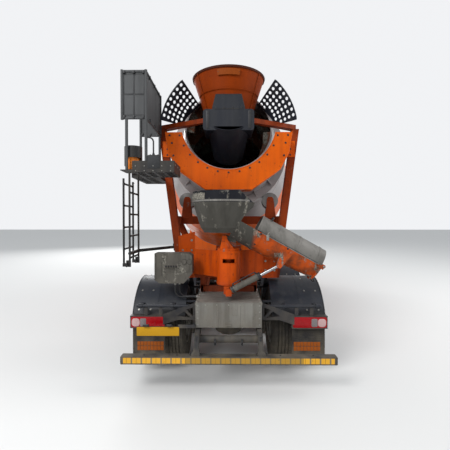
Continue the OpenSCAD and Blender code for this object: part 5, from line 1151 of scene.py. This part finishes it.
for x in (-0.86, -0.80, -0.75):
    piece.spun([(0.012, 0.0), (0.012, 0.014), (0.009, 0.018), (0.009, 0.026), (0.0, 0.027)],
               (x, -3.66, HOSE_FLOOR), -Z, steps=12)
piece.done("hose_fittings", "bolt_zinc")

# %% Platform grating and toe-board bolts
BAR_FOOT, CROSS_FOOT, TOP = 2.576, 2.586, 2.597
REAR_X, REAR_Y, LEFT_X, LEFT_Y = (-1.085, -0.640), (-4.275, -3.800), (-1.232, -0.985), (-3.775, -3.010)
piece = Shape()
piece.block(about(lane(*REAR_X, 16), 0.0015), REAR_Y, (BAR_FOOT, TOP), 0.0)
piece.block(about(lane(*LEFT_X, 9), 0.0015), LEFT_Y, (BAR_FOOT, TOP), 0.0)
piece.block(REAR_X, about(lane(-4.25, -3.82, 7), 0.002), (CROSS_FOOT, TOP), 0.0)
piece.block(LEFT_X, about(lane(-3.75, -3.03, 9), 0.002), (CROSS_FOOT, TOP), 0.0)
piece.done("platform_grating", "rail_paint")
piece = Shape()
piece.bolts(lane(-1.06, -0.66, 5), -4.2932, (2.64, 2.585), -Y, 0.006)
piece.bolts(-0.620, lane(-4.22, -3.86, 3), 2.66, X, 0.006)
piece.done("toe_board_bolts", "bolt_zinc")

# %% Panel clips and frames
piece = Shape()
piece.block(about((-1.19, -1.08, -0.97), 0.012), about((-4.270, -3.450), 0.0215), about((3.20, 3.71), 0.019))
piece.block((-0.9665, -0.9235), about((-4.12, -3.86, -3.60), 0.012), about((3.20, 3.71), 0.019))
piece.done("panel_clips", "bolt_black")
piece = Shape()
for z, x in product(((3.225, 3.455), (3.465, 3.690)), ((-1.195, -1.085), (-1.075, -0.965))):
    piece.block(x, (-4.2755, -4.2715), about(z, 0.002), 0.0008)
    piece.block(about(x, 0.002), (-4.2755, -4.2715), z, 0.0008)
piece.done("panel_frames", "bolt_black")

# %% Beacon lens and foot, box lid with cable glands
piece = Shape()
ribs = [(0.0745, 2.612)]
for z in lane(2.622, 2.778, 14):
    ribs += [(0.0745, z - 0.004), (0.0775, z - 0.002), (0.0775, z + 0.002), (0.0745, z + 0.004)]
piece.spun(ribs + [(0.0745, 2.788)], BEACON, Z, steps=48)
piece.done("beacon_lens", "amber_lens", slot="lamp_amber")
piece = Shape()
piece.block((-0.925, -0.780), (-4.2975, -4.2935), (2.610, 2.755), 0.0015)
piece.bolts((-0.910, -0.795), -4.2955, (2.625, 2.740), -Y, 0.004)
piece.spun([(0.016, 0.0), (0.016, 0.012), (0.012, 0.016), (0.012, 0.026), (0.0095, 0.030)],
           (-0.860, -4.270, 2.765), Z, steps=12)
for x in (-0.90, -0.81):
    piece.spun([(0.010, 0.0), (0.010, 0.010), (0.007, 0.014), (0.0, 0.014)], (x, -4.25, 2.765), Z, steps=12)
piece.done("wiring_lid", "cab_plastic")
piece = Shape()
piece.spun([(0.088, 2.6005), (0.092, 2.603), (0.092, 2.611), (0.076, 2.614)], BEACON, Z, steps=32)
for angle in ring_of(4, 45):
    piece.bolt(BEACON + turned(angle) * 0.0985 + Z * 2.6003, Z, 0.005)
piece.done("beacon_foot", "bolt_black")

# %% Ladder feet and chain
for name, body, x, low in (("upper_ladder_feet", "chassis", -1.133, 1.59),
                           ("lower_ladder_feet", "ladder", -1.201, 1.69)):
    piece = Shape()
    for z, (y, way) in product(lane(low, low + 0.75, 4), ((-4.2733, Y), (-3.9167, -Y))):
        piece.spun([(0.0155, 0.0), (0.0155, 0.006), (0.0118, 0.010)], (x, y, z), way, steps=12)
    piece.done(name, "rail_paint", body)
piece = Shape()
links = [Vector((-1.201 + 0.011 * i, -4.07, 2.47 - 0.030 * math.sin(math.pi * i / 6))) for i in range(7)]
for i, (a, b) in enumerate(zip(links, links[1:])):
    along = (b - a).normalized()
    wide = (Y if i % 2 else along.cross(Y)).normalized()
    ring = [(a + b) / 2 + turned(t, along * 0.0085, wide * 0.0050) for t in ring_of(8)]
    piece.tube(ring + ring[:1], 0.0016, sides=5, smooth=1)
piece.done("ladder_chain", "bolt_zinc")

# %% [markdown]
# ## Mudguards and drum guards
# Moulded guards end in a rolled lip that keeps the plastic from splitting, and screws hold them to their
# tubes. A lip is one small section swept through part of a turn round the axle, so it follows the arc.

# %% Guard lips and screws
GUARD_R = 0.660
lips, screws = Shape(), Shape()
for (side, word), (number, start) in product(SIDES, ((3, 21), (4, 21), (2, 20))):
    axle, end = Vector((0, AXLES[number], WHEEL_Z)), 180 - start
    lips.sector(oblong(GUARD_R - 0.001, GUARD_R + 0.014, *span(side, 1.2415, 1.2495)), axle, X, Y, start, end, 36)
    lips.sector(oblong(GUARD_R + 0.006, GUARD_R + 0.011, *span(side, 0.93, 0.95)), axle, X, Y, start + 1, end - 1, 36)
    for angle, x in product(lane(start + 8, end - 8, 6), (1.02, 1.17)):
        out = turned(angle, Y, Z)
        screws.bolt(axle + X * side * x + out * (GUARD_R + 0.0075), out, 0.008)
lips.done("mudguard_lips", "mud_plastic")
screws.done("mudguard_screws", "bolt_zinc")
piece = Shape()
for start, end in ((-11, -47), (-133, -169)):
    piece.sector(oblong(0.905, 0.917, -0.003, 0.006), (0, -3.65, 3.20), Y, X, start, end, steps=20)
piece.done("drum_guard_rims", "black_paint")

# %% [markdown]
# ## Chassis fittings
# Rows of bolts show how the rails, brackets and cross-members are joined. Each brake has a round chamber
# that pushes with air, and the springs are clamped to the axle with bolts bent like a U.

# %% Frame bolts and air pipes
piece = Shape()
for side, word in SIDES:
    piece.bolts(0.4073 * side, lane(-3.2, 3.7, 24), (0.795, 0.945), X * side, 0.009)
piece.done("frame_bolts", "bolt_zinc")
piece = Shape()
for x, z in product(both(0.330), (0.905, 0.887)):
    piece.tube([(x, -3.35, z), (x, 3.6, z)], 0.0055)
piece.block(pairs(0.322, 0.400), about(lane(-3.2, 3.5, 12), 0.008), (0.878, 0.914), 0.001)
piece.done("air_pipes", "hose_rubber")

# %% Brake chambers, spring clamps and dampers
CHAMBER = [(0, 0), (0.030, 0.002), (0.070, 0.010), (0.078, 0.030), (0.086, 0.052), (0.086, 0.062), (0.078, 0.066),
           (0.074, 0.100), (0.045, 0.118), (0.0, 0.120)]
piece = Shape()
for side, word in SIDES:
    for number in (3, 4):
        place = Vector((0.235 * side, AXLES[number], 0.585))
        piece.spun(CHAMBER, place - Y * 0.07, -Y, steps=24)
        for angle in ring_of(8):
            piece.bolt(place - Y * 0.136 + turned(angle, X, Z) * 0.080, -Y, 0.005)
    for number in (1, 2):
        piece.spun(CHAMBER, (0.62 * side, AXLES[number] - 0.04, 0.600), -Y, steps=24)
piece.done("brake_chambers", "chassis_paint")
piece = Shape()
for x, number, more in product(both(0.3695), (1, 2), (-0.085, 0.085)):
    y = AXLES[number] + more
    piece.tube([(x - 0.046, y, 0.45), (x - 0.046, y, 0.553), (x + 0.046, y, 0.553), (x + 0.046, y, 0.45)], 0.009,
               smooth=1)
piece.done("spring_clamps", "bolt_zinc")
piece = Shape()
for (side, word), number in product(SIDES, (1, 2)):
    low, along = Vector((0.455 * side, AXLES[number] + 0.06, 0.58)), Vector((0, 0.20, 0.35))
    piece.spun([(0, 0), (0.028, 0.0), (0.030, 0.01), (0.030, 0.20), (0.0, 0.205)], low, along, steps=20)
    piece.spun([(0, 0.19), (0.036, 0.19), (0.038, 0.20), (0.038, 0.39), (0.0, 0.40)], low, along, steps=20)
    for place in (low, low + along):
        piece.spun([(0, -0.05), (0.022, -0.05), (0.022, 0.035), (0, 0.035)], place, X * side, steps=14)
piece.done("dampers", "chassis_paint")

# %% [markdown]
# ## Tanks and battery box
# Straps hold the tanks. A strap follows the tank's outline, so its cross-section is carried point by point
# round a rectangle with round corners.

# %% Tank straps and ends
AIR_X, AIR_ZS, WATER = -0.72, (0.56, 0.80), Vector((0, 2.19, 1.90))
outer, inner = [round_box(0.564 + d, 1.143 - d, 0.497 + d, 1.023 - d, 0.063 - d) for d in (0.0, 0.0045)]
piece = Shape()
for low, high in ((-0.546, -0.504), (0.004, 0.046)):
    piece.sweep([[(xi, low, zi), (xo, low, zo), (xo, high, zo), (xi, high, zi)]
                 for (xo, zo), (xi, zi) in zip(outer + outer[:1], inner + inner[:1])])
for y, z in product((-0.50, 0.05), AIR_ZS):
    piece.spun(oblong(0.1090, 0.1130, -0.015, 0.015), (AIR_X, y, z), Y, steps=36, close=True)
for x in both(0.55):
    piece.spun(oblong(0.2245, 0.2290, -0.025, 0.025), WATER + X * x, X, steps=48, close=True)
piece.done("tank_straps", "bolt_zinc")
piece = Shape()
for z, (y, way) in product(AIR_ZS, ((0.199, Y), (-0.649, -Y))):
    piece.spun([(0.1085, 0.0), (0.095, 0.014), (0.06, 0.024), (0.0, 0.028)], (AIR_X, y, z), way, steps=32)
for side, word in SIDES:
    way = X * side
    piece.spun([(0.223, 0.0), (0.205, 0.012), (0.12, 0.022), (0.0, 0.025)], WATER + way * 0.899, way, steps=40)
piece.done("tank_ends", "bare_steel")

# %% Fuel cap, battery lid and side guards
cap = Vector((0.86, 0.10, 1.019))
piece = Shape()
piece.spun([(0, 0), (0.050, 0.0), (0.050, 0.012), (0.058, 0.014), (0.058, 0.034), (0.050, 0.040), (0, 0.040)],
           cap, Z, steps=28)
for angle in ring_of(12):
    rib = cap + turned(angle) * 0.057
    piece.block(about(rib.x, 0.004), about(rib.y, 0.004), (1.034, 1.052), 0.001)
piece.done("fuel_cap", "bolt_black")
piece = Shape()
piece.block((-1.164, -0.876), (-0.364, 0.204), (0.862, 0.906), 0.006)
piece.block((-1.170, -1.158), about((-0.25, 0.09), 0.014), (0.800, 0.884))
piece.block((-1.1635, -1.1585), about(lane(-0.30, 0.14, 5), 0.012), (0.560, 0.780), 0.002)
piece.done("battery_lid", "mud_plastic")
piece = Shape()
for side, word in SIDES:
    piece.bolts(1.2303 * side, (-1.02, 0.19), (0.60, 0.90), X * side, 0.010)
for x, z in product(both(1.2285), (0.565, 0.655, 0.865, 0.955)):
    piece.tube([(x, -1.06, z), (x, 0.24, z)], 0.0045, sides=6)
piece.done("side_guard_trim", "bare_steel")

# %% [markdown]
# ## Drum drive
# The gearbox flange is bolted to the front pedestal. A ring of equal bolts is placed by turning one place
# round the drum's axis.

# %% Gearbox bolts
FLANGE_S = FRONT_S + 0.3803
piece = Shape()
for angle in ring_of(16):
    out = turned(angle, X, DRUM_SIDE)
    piece.bolt(on_drum(FLANGE_S - 0.0303, out, 0.233), -DRUM_AXIS, 0.011)
    piece.bolt(on_drum(FLANGE_S, out, 0.233), DRUM_AXIS, 0.011)
for s in (0.03, 0.075, 0.12):
    piece.spun([(0.196, s - 0.006), (0.206, s - 0.004), (0.206, s + 0.004), (0.196, s + 0.006)],
               MOUTH + DRUM_AXIS * FLANGE_S, DRUM_AXIS, steps=48, close=True)
piece.done("drum_drive_bolts", "chassis_paint")

# %% [markdown]
# ## Cab
# The glass sits in rubber seals, the wipers park along the foot of the windscreen, and the mirror heads
# carry two glasses each. The seals are tubes along the openings' own outlines.

# %% Cab seals and wipers


def on_screen(x, z, lift):
    """A point just in front of the windscreen, whose plane leans back as it goes up."""
    return (x, 4.24 - 0.33 * (z - 1.79) / 1.10 - lift, z)


def loop(*corners):
    """The same corners, closed by the first one."""
    return corners + corners[:1]


piece = Shape()
piece.tube([on_screen(x, z, 0.004) for x, z in loop((-1.035, 1.87), (1.035, 1.87), (1.005, 2.75), (-1.005, 2.75))],
           0.009, smooth=1)
piece.tube([(x, 2.449, z) for x, z in loop((-0.70, 1.95), (0.70, 1.95), (0.70, 2.60), (-0.70, 2.60))], 0.008,
           smooth=1)
piece.done("cab_seals", "soft_rubber", "cab")
piece = Shape()
for pivot, tip in ((-0.12, -0.62), (0.62, 0.12)):
    piece.tube([(pivot, 4.238, 1.825), (pivot - 0.02, 4.243, 1.85), on_screen(tip, 1.93, 0.004)], 0.006)
    piece.tube([on_screen(tip - 0.30, 1.915, 0.009), on_screen(tip + 0.30, 1.945, 0.009)], 0.0055)
    piece.spun([(0, 0), (0.016, 0.0), (0.016, 0.010), (0.010, 0.014), (0, 0.014)], (pivot, 4.237, 1.825), Y, steps=14)
piece.done("wipers", "bolt_black", "cab")

# %% Roof, grille and mirrors
piece = Shape()
piece.block(about(both(0.35, 0.95), 0.045), (4.030, 4.072), (2.8445, 2.868), 0.008)
piece.done("roof_markers", "amber_lens", "cab")
piece = Shape()
for low in lane(1.110, 1.470, 5):
    high = low + 0.050
    piece.tube([(x, 4.2395, z) for x, z in loop((-0.698, low), (0.698, low), (0.698, high), (-0.698, high))], 0.005,
               sides=6, smooth=1)
    piece.block(about(lane(-0.62, 0.62, 21), 0.003), (4.200, 4.232), (low - 0.004, high + 0.004), 0.0)
piece.done("grille_bars", "bolt_black", "cab")
piece = Shape()
piece.block((-0.30, 0.30), (2.95, 3.45), (2.9475, 2.972), 0.010)
piece.block(about(both(0.60, 0.90), 0.02), (2.62, 3.62), (2.9475, 2.957), 0.004)
for x in both(1.2265):
    piece.sector(oblong(0.639, 0.655, -0.004, 0.004), (x, AXLES[1], WHEEL_Z), X, Y, 48, 132)
piece.done("cab_trim", "cab_plastic", "cab")
piece = Shape()
for side, word in SIDES:
    piece.tube([(x * side, 2.985, z) for x, z in ((1.2255, 1.42), (1.2405, 1.46), (1.2405, 2.36), (1.2255, 2.40))],
               0.008, smooth=3)
piece.done("cab_grab_rails", "bolt_black", "cab")
piece = Shape()
for (side, word), (low, high) in product(SIDES, ((1.895, 2.055), (2.085, 2.505))):
    piece.slab(round_box(*span(side, 1.314, 1.436), low, high, 0.018), 3.970, 3.9745, 0.001)
piece.done("mirror_glass", "mirror_glass", "cab")

# %% Doors, step treads and head-lamp rings
for side, word in SIDES:
    piece = Shape()
    piece.tube([(1.2255 * side, y, z) for y, z in loop((3.12, 1.85), (3.88, 1.85), (3.76, 2.53), (3.12, 2.53))],
               0.0065, smooth=1)
    piece.bolt((1.2250 * side, 3.065, 1.60), X * side, 0.012)
    piece.tube([(1.2400 * side, 3.10, 1.675), (1.2400 * side, 3.26, 1.675)], 0.007)
    piece.done(f"door_trim_{word}", "soft_rubber", f"door_{word[0]}")
piece = Shape()
piece.block(pairs(1.055, 1.222), about(lane(3.66, 3.94, 9), 0.005), [(0.469, 0.474), (0.689, 0.694)], 0.0015)
piece.done("step_treads", "bolt_zinc")
rings, lenses = Shape(), Shape()
for x in both(0.825, 0.945):
    place = (x, 4.2915, 0.690)
    rings.spun([(0.048, 0.0), (0.055, 0.0), (0.055, 0.005), (0.048, 0.006)], place, Y, steps=32, close=True)
    lenses.spun([(0, 0.0), (0.047, 0.0), (0.043, 0.002), (0.024, 0.005), (0, 0.006)], place, Y, steps=32)
rings.done("head_lamp_rings", "bolt_zinc")
lenses.done("head_lamp_lenses", "clear_lens")
